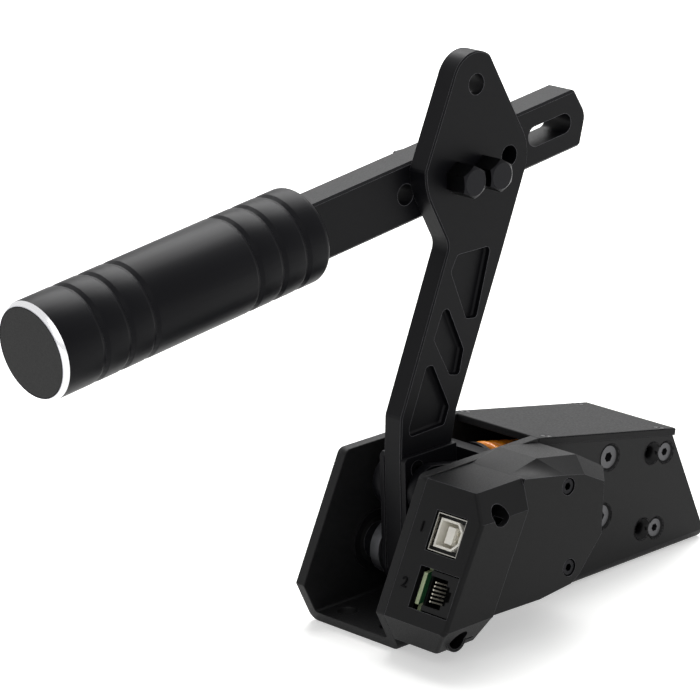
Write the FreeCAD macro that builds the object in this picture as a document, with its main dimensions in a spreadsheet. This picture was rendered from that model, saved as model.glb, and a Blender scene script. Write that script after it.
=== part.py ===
import FreeCAD, Part
import math
import os
import re

import Sketcher

# A sim racing handbrake: a bent steel channel that bolts to a rig, a lever on two
# ball bearings, a sprung push rod behind it and a sensor housing on the near side.
#
# The drawing frame has x to the rear from the front crease of the channel, y away from
# the sensor housing with 0 in the middle of the channel, and z up from its underside.
# The part's own origin is the middle of the four base holes, on the underside.

Vector = FreeCAD.Vector
Rotation = FreeCAD.Rotation
Placement = FreeCAD.Placement

SIZES = {
    # Base channel
    "base_length": 152.4,
    "base_width": 42,
    "plate_thickness": 4,
    "bend_radius": 3,
    "crease_height": 14.5,
    "side_height": 56.3,
    "front_lean": 26.5,
    "toe_setback": 6.8,
    "flat_top_length": 51.2,
    "top_slope": 11.1,
    "cover_run": 67.3,
    "rear_foot_height": 4.7,
    "wall_corner_radius": 3,
    "foot_corner_radius": 2.5,
    "front_hole_inset": 13,
    "bolt_spacing_long": 130,
    "bolt_spacing_wide": 20,
    "base_hole": 6.6,
    "inner_bend_radius": 1,
    # Top cover
    "cover_thickness": 2.5,
    "cover_overhang": 1,
    "cover_screw_front": 5.4,
    "cover_screw_rear": 6.5,
    "cover_screw_inset": 2.05,
    "cover_screw_thread": 2,
    "cover_screw_head": 3.7,
    "cover_screw_length": 6,
    "cover_edge": 0.3,
    # Pivot, link and bearings
    "pivot_x": 33,
    "pivot_z": 22,
    "link_behind": 1,
    "link_reach": 23,
    "shaft_diameter": 10,
    "bearing_outer": 19,
    "bearing_width": 5,
    "bearing_flange": 21,
    "bearing_lip": 1,
    "ball_diameter": 2.4,
    "ball_count": 11,
    "ball_play": 0.05,
    "race_groove": 0.25,
    "shield_thickness": 0.3,
    "shield_inset": 0.1,
    "flange_diameter": 19,
    "flange_thickness": 4,
    "flange_screw_ring": 14.4,
    "flange_screw_thread": 2,
    "flange_screw_head": 3.8,
    "flange_screw_bite": 6,
    "shaft_screw_thread": 4,
    "shaft_screw_head": 7.6,
    "shaft_screw_head_height": 2.2,
    "shaft_screw_length": 10,
    "end_washer_diameter": 14,
    "end_washer_thickness": 1.2,
    "spacer_diameter": 13,
    # Lever plate and its cheeks
    "arm_thickness": 8,
    "arm_hole": 7,
    "arm_edge": 0.5,
    "cheek_thickness": 2,
    "hub_ahead": 8,
    "hub_behind": 15.6,
    "hub_below": 12,
    "hub_above": 12.3,
    "hub_front_round": 9,
    "hub_rear_round": 7,
    "cheek_corner": 1.2,
    "pocket_depth": 2.2,
    "pocket_corner": 1.6,
    "pocket_floor_round": 0.9,
    "hub_screw_thread": 3,
    "hub_screw_head": 5.4,
    "hub_lower_screw_in": 4.5,
    "hub_lower_screw_up": 2,
    "hub_upper_screw_in": 5.5,
    "hub_upper_screw_down": 4.5,
    # Cross bar and its clamp
    "bar_x": 63.1,
    "bar_z": 145.15,
    "bar_tilt": 7.35,
    "bar_depth": 20,
    "bar_thickness": 12,
    "bar_rear": 55.1,
    "bar_nose": 3.8,
    "bar_nose_half": 1.2,
    "bar_chamfer": 0.8,
    "clamp_slot_middle": -4,
    "clamp_slot_rise": 0.85,
    "clamp_slot_length": 27.4,
    "clamp_slot_width": 8.4,
    "rear_slot_middle": 41.4,
    "rear_slot_length": 20.5,
    "rear_slot_width": 6.9,
    "bar_pin_hole": 7.2,
    "bar_pin_station": -26,
    "clamp_station": -4,
    "clamp_pitch": 12,
    "clamp_front_rise": 1.7,
    "clamp_spare_rise": 1.5,
    "clamp_thread": 6,
    "clamp_head_width": 9.6,
    "clamp_head_height": 8.4,
    "clamp_head_face": 8.6,
    "clamp_head_slant": 30,
    "clamp_washer": 11.8,
    "clamp_washer_thickness": 1.6,
    "clamp_nut_height": 5,
    "clamp_nut_width": 10,
    "clamp_tail": 1.5,
    # Grip
    "grip_length": 109.7,
    "grip_start": 68.05,
    "grip_diameter": 32,
    "grip_end_chamfer": 1.8,
    "grip_disc_depth": 2.4,
    "grip_hollow": 22,
    "grip_floor": 12,
    "groove_width": 2.9,
    "groove_depth": 0.7,
    "groove_pitch": 10.1,
    "front_groove": 16.5,
    "disc_border": 1.3,
    "disc_play": 0.1,
    "grip_bolt_thread": 8,
    "grip_bolt_head": 13,
    "grip_bolt_depth": 18,
    "grip_rear_round": 2.5,
    # Yoke, push rod, spring and brackets
    "ear_thickness": 3.7,
    "ear_radius": 8.75,
    "yoke_front": 18.2,
    "yoke_depth": 9,
    "yoke_width": 30,
    "yoke_height": 24,
    "pin_diameter": 8,
    "clip_thickness": 0.8,
    "clip_width": 1.8,
    "clip_groove": 0.8,
    "clip_mouth": 4.2,
    "yoke_edge": 1,
    "pin_tail": 0.6,
    "rod_diameter": 8,
    "seat_thickness": 2,
    "seat_diameter": 25,
    "coil_diameter": 25,
    "wire_diameter": 3.5,
    "coil_turns": 6,
    "coil_play": 0.1,
    "middle_station": 71.4,
    "middle_depth": 10,
    "middle_upper": 9.8,
    "middle_lower": 10.7,
    "middle_screw_thread": 5,
    "middle_screw_head": 7.8,
    "rear_station": 99.8,
    "rear_depth": 7,
    "rear_upper": 10.1,
    "rear_lower": 16.5,
    "rear_screw_thread": 4,
    "rear_screw_head": 6.2,
    "rear_spare_step": 6.9,
    "bracket_gap": 2.91,
    "middle_edge": 5,
    "rear_edge": 3.5,
    "block_edge": 0.5,
    "wall_screw_sink": 0.7,
    "bush_diameter": 12,
    "rod_play": 0.6,
    "stop_washer_diameter": 20,
    "stop_washer_thickness": 2,
    "stop_nut_width": 13,
    "stop_nut_height": 6,
    "rod_chamfer": 1,
    "rod_tail": 2,
    "damper_diameter": 20,
    "damper_bore": 10.6,
    "damper_edge": 1,
    # Sensor housing
    "housing_reach": 28.5,
    "housing_side_taper": 1,
    "housing_top": 55.7,
    "housing_foot": 5.1,
    "housing_chamfer_in": 6.4,
    "housing_chamfer_down": 8.3,
    "housing_foot_in": 8.2,
    "housing_foot_up": 9.9,
    "housing_section": 21,
    "section_step": 0.6,
    "section_overlap": 0.4,
    "housing_foot_rear": 20.8,
    "face_reach": 23.6,
    "rim_reach": 17,
    "rim_ramp": 1.5,
    "housing_round": 1.3,
    "housing_wall": 2,
    "face_screw_x": 61.15,
    "face_screw_upper": 47.9,
    "face_screw_lower": 19.9,
    "face_screw_thread": 3,
    "face_screw_head": 5.6,
    "face_screw_recess": 3.4,
    "deep_upper_x": 25.6,
    "deep_upper_z": 48.2,
    "deep_lower_x": 10.7,
    "deep_lower_z": 9.2,
    "deep_bore": 6.8,
    "boss_wall": 1,
    "deep_seat": 4,
    "housing_screw_head_height": 3,
    # Circuit board and sockets
    "board_thickness": 1.6,
    "board_reach": 10,
    "board_inset": 3.6,
    "board_tab": 10.5,
    "board_tab_depth": 1.2,
    "board_screw_thread": 2,
    "board_screw_head": 3.8,
    "board_screw_head_height": 1.4,
    "board_screw_bite": 4.5,
    "post_diameter": 5,
    "sensor_gap": 2,
    "magnet_diameter": 6,
    "magnet_thickness": 2.5,
    "magnet_pin_diameter": 3,
    "magnet_pin_length": 4,
    "sensor_chip_length": 5,
    "sensor_chip_width": 4,
    "sensor_chip_height": 1.4,
    "control_chip_side": 7,
    "control_chip_height": 1.2,
    "small_part_length": 2,
    "small_part_width": 1.2,
    "small_part_height": 0.9,
    "data_height": 42,
    "data_tall": 12.6,
    "data_wide": 12.9,
    "data_sink": 3,
    "data_depth": 14.5,
    "data_chamfer": 2.8,
    "data_wall": 0.7,
    "data_insert_recess": 0.9,
    "data_mouth_wide": 8.4,
    "data_mouth_tall": 8.9,
    "data_mouth_depth": 8.8,
    "data_tongue_wide": 3.2,
    "data_tongue_tall": 5.6,
    "data_tongue_length": 8.4,
    "data_contact_length": 6.5,
    "data_contact_thickness": 0.3,
    "data_contact_width": 1,
    "data_contact_pitch": 2.5,
    "jack_height": 25.3,
    "jack_tall": 13.2,
    "jack_wide": 14.2,
    "jack_depth": 10.5,
    "jack_side_room": 2.4,
    "jack_setback": 2.6,
    "jack_mouth_middle": 1.6,
    "jack_step_overlap": 0.1,
    "jack_mouth_wide": 8.8,
    "jack_mouth_tall": 9.8,
    "jack_mouth_depth": 8.6,
    "jack_key_wide": 1.6,
    "jack_key_tall": 6.2,
    "jack_latch_wide": 1.4,
    "jack_latch_tall": 3.4,
    "jack_wire_length": 5.8,
    "jack_wire_height": 0.5,
    "jack_wire_pitch": 1.27,
    "jack_wire_count": 6,
    "socket_gap": 0.4,
    "socket_recess": 0.6,
    "socket_room": 4.5,
    "contact_width": 0.5,
    # Fits
    "press_clearance": 0,
    "thread_clearance": 0.05,
    "slide_clearance": 0.3,
    "hole_clearance": 0.3,
    # What all screws, tapped holes and cuts share
    "head_edge": 0.15,
    "flat_key_share": 0.62,
    "flat_key_depth_share": 0.5,
    "cap_edge": 0.3,
    "cap_key_share": 0.8,
    "cap_key_depth_share": 0.6,
    "screw_bite_share": 1.6,
    "tap_spare": 0.5,
    "tool_overrun": 1,
}

doc = FreeCAD.newDocument("handbrake")
sheet = doc.addObject("Spreadsheet::Sheet", "Sizes")
for row, (word, number) in enumerate(SIZES.items(), 1):
    sheet.set(f"A{row}", word)
    sheet.set(f"B{row}", str(number))
    sheet.setAlias(f"B{row}", word)
doc.recompute()


def bound(formula):
    """The formula with each size named as the sheet's cell."""

    def full(match):
        return "Sizes." + match[0] if match[0] in SIZES else match[0]

    return re.sub(r"[a-z][a-z_]*[a-z]", full, str(formula))


def num(formula):
    """The formula's value in millimetres or degrees."""
    return float(sheet.evalExpression(bound(formula)))


# Places that more than one piece shares
HALF = "base_width / 2"
INNER = "(base_width / 2 - plate_thickness)"
ORIGIN_X = "(front_hole_inset + bolt_spacing_long / 2)"
CREASE_TOP_X = "((side_height - crease_height) * tan(front_lean))"
COVER_X = f"({CREASE_TOP_X} + flat_top_length)"
COVER_LINE = f"(side_height + ({COVER_X} - (pivot_x + link_behind)) * tan(top_slope))"
LINK_X, LINK_Z = "(pivot_x + link_behind)", "(pivot_z + link_reach)"
HUB_FRONT, HUB_REAR = "(pivot_x - hub_ahead)", "(pivot_x + hub_behind)"
HUB_BOTTOM, HUB_TOP = "(pivot_z - hub_below)", f"({LINK_Z} + hub_above)"
ROUND_SHARE = "(1 - sqrt(0.5))"
ARM_HALF = "arm_thickness / 2"
HUB_HALF = "(arm_thickness / 2 + cheek_thickness)"
EAR_IN = f"({HUB_HALF} + slide_clearance)"
EAR_OUT = f"({EAR_IN} + ear_thickness)"
FLANGE_OUT = f"({HUB_HALF} + flange_thickness)"
RING_IN = f"({INNER} - bearing_lip)"
RING_OUT = f"({RING_IN} + bearing_width)"
BAR_MIDDLE = "(arm_thickness / 2 + bar_thickness / 2)"
BAR_FAR = "(arm_thickness / 2 + bar_thickness)"
MIDDLE_FRONT = "(middle_station - middle_depth / 2)"
MIDDLE_REAR = "(middle_station + middle_depth / 2)"
REAR_FRONT = "(rear_station - rear_depth / 2)"
SEAT_FRONT = "(yoke_front + yoke_depth)"
COIL_FRONT = f"({SEAT_FRONT} + seat_thickness)"
NUT_FRONT = f"({MIDDLE_REAR} + stop_washer_thickness)"
NUT_REAR = f"({NUT_FRONT} + stop_nut_height)"
BOARD_INNER = f"({HALF} + board_reach)"
BOARD_OUTER = f"({BOARD_INNER} + board_thickness)"
MAGNET_END = f"({BOARD_INNER} - sensor_chip_height - sensor_gap - {RING_OUT})"
NEAR_MISS = 0.01


def along_rod(s, t="0"):
    """The place s behind the link pin on the push rod's line and t above it."""
    return (f"({LINK_X} + ({s}) * cos(top_slope) + ({t}) * sin(top_slope))",
            f"({LINK_Z} - ({s}) * sin(top_slope) + ({t}) * cos(top_slope))")


def along_bar(s, t="0"):
    """The place s behind the middle of the lever head on the bar's line and t above it."""
    return (f"(bar_x + ({s}) * cos(bar_tilt) - ({t}) * sin(bar_tilt))",
            f"(bar_z + ({s}) * sin(bar_tilt) + ({t}) * cos(bar_tilt))")


def on_panel(height, depth="0"):
    """The place at a height on the slanted front plane and a depth behind it."""
    return (f"(({height}) - crease_height) * tan(front_lean) + ({depth}) * cos(front_lean)",
            f"({height}) - ({depth}) * sin(front_lean)")


PANEL_LOW_X = "toe_setback * (1 - housing_foot / crease_height)"
PANEL_TOP_X = on_panel("housing_top")[0]
SECTION_TOP_X = f"({PANEL_TOP_X} + housing_section)"
SECTION_X = "(housing_foot_rear + section_step)"
SOCKET_LOW = "(jack_height - jack_tall / 2 - socket_room)"
FACE_SEAT = "(face_reach - face_screw_recess)"


def settle(thing):
    """Recompute, and stop on a feature that failed."""
    doc.recompute()
    if "Invalid" in thing.State or "Error" in thing.State or thing.Shape.isNull():
        raise RuntimeError(f"{thing.Label} failed: {thing.State}")
    return thing


def place(thing, x=ORIGIN_X, y="0", z="0", axis=Vector(0, 1, 0), turn="0"):
    """Put a thing at a place of the drawing frame, turned about an axis."""
    thing.Placement = Placement(Vector(), Rotation(axis, num(turn) or 360))
    thing.setExpression("Placement.Base.x", bound(f"{x} - {ORIGIN_X}"))
    thing.setExpression("Placement.Base.y", bound(y))
    thing.setExpression("Placement.Base.z", bound(z))
    if num(turn):
        thing.setExpression("Placement.Rotation.Angle", bound(turn))
    return settle(thing)


ACROSS = Vector(1, 0, 0)


def towards_far(thing, x, y, z):
    """Lay a thing's own z axis along +y, away from the sensor housing."""
    return place(thing, x, y, z, ACROSS, "-90")


def towards_near(thing, x, y, z):
    """Lay a thing's own z axis along -y, towards the sensor housing."""
    return place(thing, x, y, z, ACROSS, "90")


def on_rod(thing, s, t="0", turn="0"):
    """Put a thing on the push rod's line; a turn of 90 lays its z axis along the rod."""
    x, z = along_rod(s, t)
    return place(thing, x, "0", z, turn=f"top_slope + {turn}")


def body(label):
    return doc.addObject("PartDesign::Body", label)


def sketch(owner, role, level="0", lean="0", start="0"):
    """An empty sketch on one of a body's own planes, level in front of it."""
    plane = next(f for f in owner.Origin.OriginFeatures if f.Role == role)
    page = owner.newObject("Sketcher::SketchObject", owner.Label + "_sketch")
    page.AttachmentSupport = [(plane, "")]
    page.MapMode = "FlatFace"
    page.AttachmentOffset = Placement(Vector(), Rotation(Vector(0, 1, 0), num(lean) or 360))
    page.setExpression("AttachmentOffset.Base.x", bound(start))
    page.setExpression("AttachmentOffset.Base.z", bound(level))
    return page


def pin(page, geometry, end, across, up):
    """Hold one point of a sketch at two distances that the sheet drives."""
    for kind, formula in (("DistanceX", across), ("DistanceY", up)):
        held = page.addConstraint(Sketcher.Constraint(kind, -1, 1, geometry, end, num(formula)))
        page.setExpression(f"Constraints[{held}]", bound(formula))


def outline(owner, role, corners, level="0", lean="0", start="0"):
    """A closed outline; a corner with four values has an arc to the next, through the last two."""
    page = sketch(owner, role, level, lean, start)
    points = [Vector(num(c[0]), num(c[1]), 0) for c in corners]
    for corner, first, last in zip(corners, points, points[1:] + points[:1]):
        if len(corner) == 4:
            middle = Vector(num(corner[2]), num(corner[3]), 0)
            left_hand = (middle - first).cross(last - middle).z > 0
            page.addGeometry(Part.Arc(first, middle, last) if left_hand else Part.Arc(last, middle, first),
                             False)
        else:
            page.addGeometry(Part.LineSegment(first, last), False)
    for i, corner in enumerate(corners):
        before = (i - 1) % len(corners)
        ends = {}
        for edge in (before, i):
            curve = page.Geometry[edge]
            start_here = (curve.StartPoint - points[i]).Length < (curve.EndPoint - points[i]).Length
            ends[edge] = 1 if start_here else 2
        page.addConstraint(Sketcher.Constraint("Coincident", before, ends[before], i, ends[i]))
        pin(page, i, ends[i], corner[0], corner[1])
    for i, corner in enumerate(corners):
        if len(corner) == 4:
            middle = page.addGeometry(Part.Point(Vector(num(corner[2]), num(corner[3]), 0)), True)
            pin(page, middle, 1, corner[2], corner[3])
            page.addConstraint(Sketcher.Constraint("PointOnObject", middle, 1, i))
    return page


def circles(owner, role, rounds, level="0"):
    """Circles given as across, up and diameter."""
    page = sketch(owner, role, level)
    for i, (across, up, diameter) in enumerate(rounds):
        page.addGeometry(Part.Circle(Vector(num(across), num(up), 0), Vector(0, 0, 1), num(diameter) / 2))
        pin(page, i, 3, across, up)
        held = page.addConstraint(Sketcher.Constraint("Diameter", i, num(diameter)))
        page.setExpression(f"Constraints[{held}]", bound(diameter))
    return page


def slot_outline(middle, rise, length, width):
    """A slot's outline along the first axis, with round ends."""
    run, half = f"(({length} - {width}) / 2)", f"{width} / 2"
    left, right = f"{middle} - {run}", f"{middle} + {run}"
    low, high = f"{rise} - {half}", f"{rise} + {half}"
    return [(left, low), (right, low, f"{right} + {half}", rise), (right, high),
            (left, high, f"{left} - {half}", rise)]


def pad(owner, page, length, both=False, back=False):
    """Thicken a sketch by a length, to both sides or backwards if asked."""
    feature = owner.newObject("PartDesign::Pad", owner.Label + "_pad")
    feature.Profile = page
    feature.Midplane = both
    feature.Reversed = back
    feature.setExpression("Length", bound(length))
    return settle(feature)


def pocket(owner, page, length=None, both=False, back=False):
    """Cut a sketch into the body, right through if no length is given."""
    before = owner.Shape.Volume
    feature = owner.newObject("PartDesign::Pocket", owner.Label + "_pocket")
    feature.Profile = page
    feature.Midplane = both
    feature.Reversed = back
    if length is None:
        feature.Type = "ThroughAll"
    else:
        feature.setExpression("Length", bound(length))
    settle(feature)
    if owner.Shape.Volume > before - 1e-6:
        raise RuntimeError(f"{owner.Label}: a pocket cuts nothing")
    return feature


def drill(owner, role, rounds, level="0", length=None, both=True, back=False):
    return pocket(owner, circles(owner, role, rounds, level), length, both, back)


def dress(owner, kind, size, test):
    """Fillet or chamfer the body's edges that pass the test, given as a rule on each edge."""
    base = owner.Tip
    edges = [f"Edge{i}" for i, edge in enumerate(base.Shape.Edges, 1) if test(edge)]
    if not edges:
        raise RuntimeError(f"{owner.Label}: no edge to {kind}")
    feature = owner.newObject("PartDesign::" + kind, owner.Label + "_" + kind.lower())
    feature.Base = (base, edges)
    feature.setExpression("Radius" if kind == "Fillet" else "Size", bound(size))
    return settle(feature)


def ends_at(edge, test):
    return all(test(vertex.Point) for vertex in edge.Vertexes)


def across_edge(x, z, reach=0.05):
    """A rule for edges that run across the width through x and z."""
    at_x, at_z = num(x), num(z)
    return lambda edge: ends_at(
        edge, lambda p: abs(p.x - at_x) < reach and abs(p.z - at_z) < reach) and edge.Length > reach


def along_edge(y, z):
    """A rule for the two edges that run along the channel at y to either side and at z."""
    at_y, at_z = num(y), num(z)
    return lambda edge: ends_at(edge, lambda p: abs(abs(p.y) - at_y) < NEAR_MISS and abs(
        p.z - at_z) < NEAR_MISS) and abs(edge.BoundBox.XLength) > NEAR_MISS


def level_with(distance, letter="z"):
    """A rule for edges that lie at a distance to either side of the middle along one axis."""
    value = num(distance)
    return lambda edge: ends_at(edge, lambda p: abs(abs(getattr(p, letter)) - value) < NEAR_MISS)


def above(height, rule):
    """A rule kept to edges that lie above a height."""
    lowest = num(height) - NEAR_MISS
    return lambda edge: rule(edge) and ends_at(edge, lambda p: p.z > lowest)


def as_deep_as(depth):
    """A rule for edges that run straight across the width for a depth."""
    length = num(depth)
    return lambda edge: (abs(edge.BoundBox.YLength - length) < NEAR_MISS
                         and edge.BoundBox.XLength + edge.BoundBox.ZLength < NEAR_MISS)


def turned(label, profile):
    """A turned piece: a closed outline of radius and height about its own z axis."""
    piece = body(label)
    page = outline(piece, "XZ_Plane", profile)
    feature = piece.newObject("PartDesign::Revolution", label + "_turn")
    feature.Profile = page
    feature.ReferenceAxis = (page, ["V_Axis"])
    feature.Angle = 360
    settle(feature)
    return piece


def tube(label, outer, inner, length):
    """A turned ring or rod from height 0 to its length."""
    return turned(label, [(inner, "0"), (outer, "0"), (outer, length), (inner, length)])


def hexagon(owner, width, level="0", first=0):
    """A six-sided outline across its flats, square to the z axis, with its first corner at an angle."""
    corners = [(f"{width} / sqrt(3) * cos({first + 60 * i})", f"{width} / sqrt(3) * sin({first + 60 * i})")
               for i in range(6)]
    return outline(owner, "XY_Plane", corners, level)


def socketed(piece, width, depth):
    """A hexagon socket down from the top of a screw's head, at height 0."""
    pocket(piece, hexagon(piece, width), depth)
    return piece


def flat_screw(label, thread, head, length):
    """A countersunk screw with its flat head at height 0 and its shank below."""
    cone = f"({head} - {thread}) / 2"
    piece = turned(label, [("0", "0"), (f"{head} / 2", "0"), (f"{head} / 2", "-head_edge"),
                           (f"{thread} / 2", f"-head_edge - {cone}"), (f"{thread} / 2", f"-({length})"),
                           ("0", f"-({length})")])
    return socketed(piece, f"{thread} * flat_key_share", f"{thread} * flat_key_depth_share")


def flat_sink(thread, head, length, gap, down="0"):
    """The hole that a countersunk screw goes into, with its head down in it, as a turned outline."""
    cone = f"({head} - {thread}) / 2"
    return [("0", "tool_overrun"), (f"{head} / 2 + {down} + {gap}", "tool_overrun"),
            (f"{head} / 2 + {down} + {gap}", "-head_edge"),
            (f"{thread} / 2 + {gap}", f"-head_edge - {cone} - {down}"),
            (f"{thread} / 2 + {gap}", f"-({length})"), ("0", f"-({length})")]


def cap_screw(label, thread, head, head_height, length):
    """A socket head screw: its head stands on height 0 and its shank is below."""
    piece = turned(label, [("0", head_height), (f"{head} / 2 - cap_edge", head_height),
                           (f"{head} / 2", f"{head_height} - cap_edge"), (f"{head} / 2", "0"),
                           (f"{thread} / 2", "0"), (f"{thread} / 2", f"-({length})"), ("0", f"-({length})")])
    pocket(piece, hexagon(piece, f"{thread} * cap_key_share", head_height),
           f"{head_height} * cap_key_depth_share")
    return piece


def copies(label, master, spots, put):
    """One node of separate equal pieces: a link to the master at each spot."""
    links = []
    for i, spot in enumerate(spots):
        link = doc.addObject("App::Link", f"{label}_{i + 1}")
        link.LinkedObject = master
        links.append(put(link, *spot))
    group = doc.addObject("Part::Compound", label)
    group.Links = links
    return settle(group)


def cut_away(label, base, tools):
    """The base piece with the tools' shapes taken out of it."""
    tool = doc.addObject("Part::Compound", label + "_tools")
    tool.Links = tools
    result = doc.addObject("Part::Cut", label)
    result.Base = base
    result.Tool = tool
    before = base.Shape.Volume
    settle(result)
    if result.Shape.Volume > before - 1e-6:
        raise RuntimeError(f"{label}: the tools cut nothing")
    return result


parts = {}


def keep(node, thing):
    thing.Label = node
    parts[node] = thing
    return thing


# Channel body

def side_profile():
    """The folded plate seen from the side, with the step that the cover lies in."""
    end_x = f"({COVER_X} + cover_run * cos(top_slope) - cover_thickness * sin(top_slope))"
    end_z = "(side_height - cover_run * sin(top_slope) - cover_thickness * cos(top_slope))"
    return [("toe_setback", "0"), ("0", "crease_height"), (CREASE_TOP_X, "side_height"),
            (COVER_X, "side_height"),
            (f"{COVER_X} - cover_thickness * sin(top_slope)",
             "side_height - cover_thickness * cos(top_slope)"),
            (end_x, end_z), ("base_length", "rear_foot_height"), ("base_length", "0")]


SIDE_SPOTS = [along_rod("middle_station", "middle_upper"), along_rod("middle_station", "-middle_lower")]
REAR_SPOTS = [along_rod("rear_station", "rear_upper"), along_rod("rear_station", "-rear_lower")]
SPARE_SPOTS = [along_rod("rear_station - rear_spare_step", "rear_upper"),
               along_rod("rear_station - rear_spare_step", "-rear_lower")]
DEEP_SPOTS = [("deep_upper_x", "deep_upper_z"), ("deep_lower_x", "deep_lower_z")]
FACE_SPOTS = [("face_screw_x", "face_screw_upper"), ("face_screw_x", "face_screw_lower")]
SIDES = [("-1", towards_near), ("1", towards_far)]


def cover_spots():
    """The four cover screws, at each end of the cover and over each wall."""
    length = "(cover_run + cover_overhang)"
    return [(s, f"{side} * ({HALF} - cover_screw_inset)")
            for s in ("cover_screw_front", f"{length} - cover_screw_rear") for side in (-1, 1)]


def on_slope(thing, s, y):
    """Put a thing on the cover's top face, s behind its front edge."""
    return place(thing, f"{COVER_X} + ({s}) * cos(top_slope)", y,
                 f"side_height - ({s}) * sin(top_slope)", turn="top_slope")


def sinks(label, thread, head, length, spots, put, gap="thread_clearance", down="0"):
    """The countersunk holes for a set of screws, as cutting tools."""
    master = turned(label, flat_sink(thread, head, length, gap, down))
    return copies(label + "_set", master, spots, put)


def taps(label, thread, length, spots, put):
    """The plain tapped holes for a set of screws, as cutting tools."""
    radius = f"{thread} / 2 + thread_clearance"
    master = turned(label, [("0", "tool_overrun"), (radius, "tool_overrun"), (radius, f"-({length})"),
                            ("0", f"-({length})")])
    return copies(label + "_set", master, spots, put)


def side_put(thing, x, z, side, lay):
    return lay(thing, x, f"{side} * {HALF}", z)


def sunk_put(thing, x, z, side, lay):
    return lay(thing, x, f"{side} * ({HALF} - wall_screw_sink)", z)


def both_sides(spots):
    return [(x, z, side, lay) for x, z in spots for side, lay in SIDES]


def make_channel():
    plate = body("folded_plate")
    profile = side_profile()
    pad(plate, outline(plate, "XZ_Plane", profile), "base_width", both=True)
    dress(plate, "Fillet", "wall_corner_radius", across_edge(*profile[2]))
    dress(plate, "Fillet", "foot_corner_radius", across_edge(*profile[6]))
    inner, high = INNER, "side_height * 2"
    inside = [(f"-{inner}", high), (f"-{inner}", "plate_thickness"), (inner, "plate_thickness"), (inner, high)]
    pocket(plate, outline(plate, "YZ_Plane", inside), both=True)
    dress(plate, "Fillet", "bend_radius", along_edge(HALF, "0"))
    dress(plate, "Fillet", "inner_bend_radius", along_edge(INNER, "plate_thickness"))
    drill(plate, "XZ_Plane", [("pivot_x", "pivot_z", "bearing_outer + press_clearance")])
    floor_holes = [(x, f"{side} * bolt_spacing_wide / 2", "base_hole")
                   for x in ("front_hole_inset", "front_hole_inset + bolt_spacing_long") for side in (-1, 1)]
    drill(plate, "XY_Plane", floor_holes, length="plate_thickness * 3")
    drill(plate, "XZ_Plane", [(x, z, "face_screw_thread + 2 * thread_clearance")
                              for x, z in DEEP_SPOTS + FACE_SPOTS],
          HALF, "plate_thickness + tool_overrun", both=False)
    place(plate, "0")
    tools = [
        sinks("middle_sink", "middle_screw_thread", "middle_screw_head", "plate_thickness + tool_overrun",
              both_sides(SIDE_SPOTS), side_put, down="wall_screw_sink"),
        sinks("rear_sink", "rear_screw_thread", "rear_screw_head", "plate_thickness + tool_overrun",
              both_sides(REAR_SPOTS + SPARE_SPOTS), side_put, down="wall_screw_sink"),
        taps("cover_tap", "cover_screw_thread", "cover_screw_length + tap_spare", cover_spots(), on_slope)]
    keep("channel_body", cut_away("channel_body", plate, tools))


def make_cover():
    plate = body("cover_plate")
    length = "cover_run + cover_overhang"
    top = [("0", f"-{HALF}"), (length, f"-{HALF}"), (length, HALF), ("0", HALF)]
    pad(plate, outline(plate, "XY_Plane", top), "cover_thickness", back=True)
    dress(plate, "Chamfer", "cover_edge", level_with("0"))
    on_slope(plate, "0", "0")
    tools = [sinks("cover_sink", "cover_screw_thread", "cover_screw_head", "cover_screw_length",
                   cover_spots(), on_slope, "hole_clearance / 3")]
    keep("top_cover", cut_away("top_cover", plate, tools))
    screw = flat_screw("cover_screw", "cover_screw_thread", "cover_screw_head", "cover_screw_length")
    keep("cover_screws", copies("cover_screws", screw, cover_spots(), on_slope))


# Bearings, one in each wall

def make_bearing(word, side, lay):
    """A flanged ball bearing whose flange lies against the wall's inner face."""
    outer, bore = "bearing_outer / 2", "shaft_diameter / 2"
    out, lip = "bearing_width", "bearing_lip"
    pitch = f"(({outer} + {bore}) / 2)"
    groove_round = "(ball_diameter / 2 + ball_play)"
    reach = f"({groove_round} - race_groove)"
    chord = f"sqrt({groove_round} ^ 2 - {reach} ^ 2)"
    outer_race, inner_race = f"({pitch} + {reach})", f"({pitch} - {reach})"
    ring = [(outer_race, "0"), ("bearing_flange / 2", "0"), ("bearing_flange / 2", lip), (outer, lip),
            (outer, out), (outer_race, out),
            (outer_race, f"{out} / 2 + {chord}", f"{pitch} + {groove_round}", f"{out} / 2"),
            (outer_race, f"{out} / 2 - {chord}")]
    small = [(bore, "0"), (inner_race, "0"),
             (inner_race, f"{out} / 2 - {chord}", f"{pitch} - {groove_round}", f"{out} / 2"),
             (inner_race, f"{out} / 2 + {chord}"), (inner_race, out), (bore, out)]
    spot = ("pivot_x", f"{side} * {RING_IN}", "pivot_z")
    keep(f"{word}_bearing_outer", lay(turned(f"{word}_outer", ring), *spot))
    keep(f"{word}_bearing_inner", lay(turned(f"{word}_inner", small), *spot))
    ball = doc.addObject("Part::Sphere", f"{word}_ball")
    ball.setExpression("Radius", bound("ball_diameter / 2"))
    settle(ball)
    count = int(num("ball_count"))
    spots = [(f"pivot_x + {pitch} * cos({360 * i / count})", f"{side} * ({RING_IN} + {out} / 2)",
              f"pivot_z + {pitch} * sin({360 * i / count})") for i in range(count)]
    keep(f"{word}_bearing_balls", copies(f"{word}_bearing_balls", ball, spots, place))
    shield = tube(f"{word}_shield", outer_race, f"{inner_race} + hole_clearance / 2", "shield_thickness")
    faces = [("pivot_x", f"{side} * ({y})", "pivot_z")
             for y in (f"{RING_IN} + shield_inset", f"{RING_OUT} - shield_thickness - shield_inset")]
    keep(f"{word}_bearing_shield", copies(f"{word}_bearing_shield", shield, faces, lay))


# Lever: shaft, plate, cheeks, bar and grip

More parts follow.
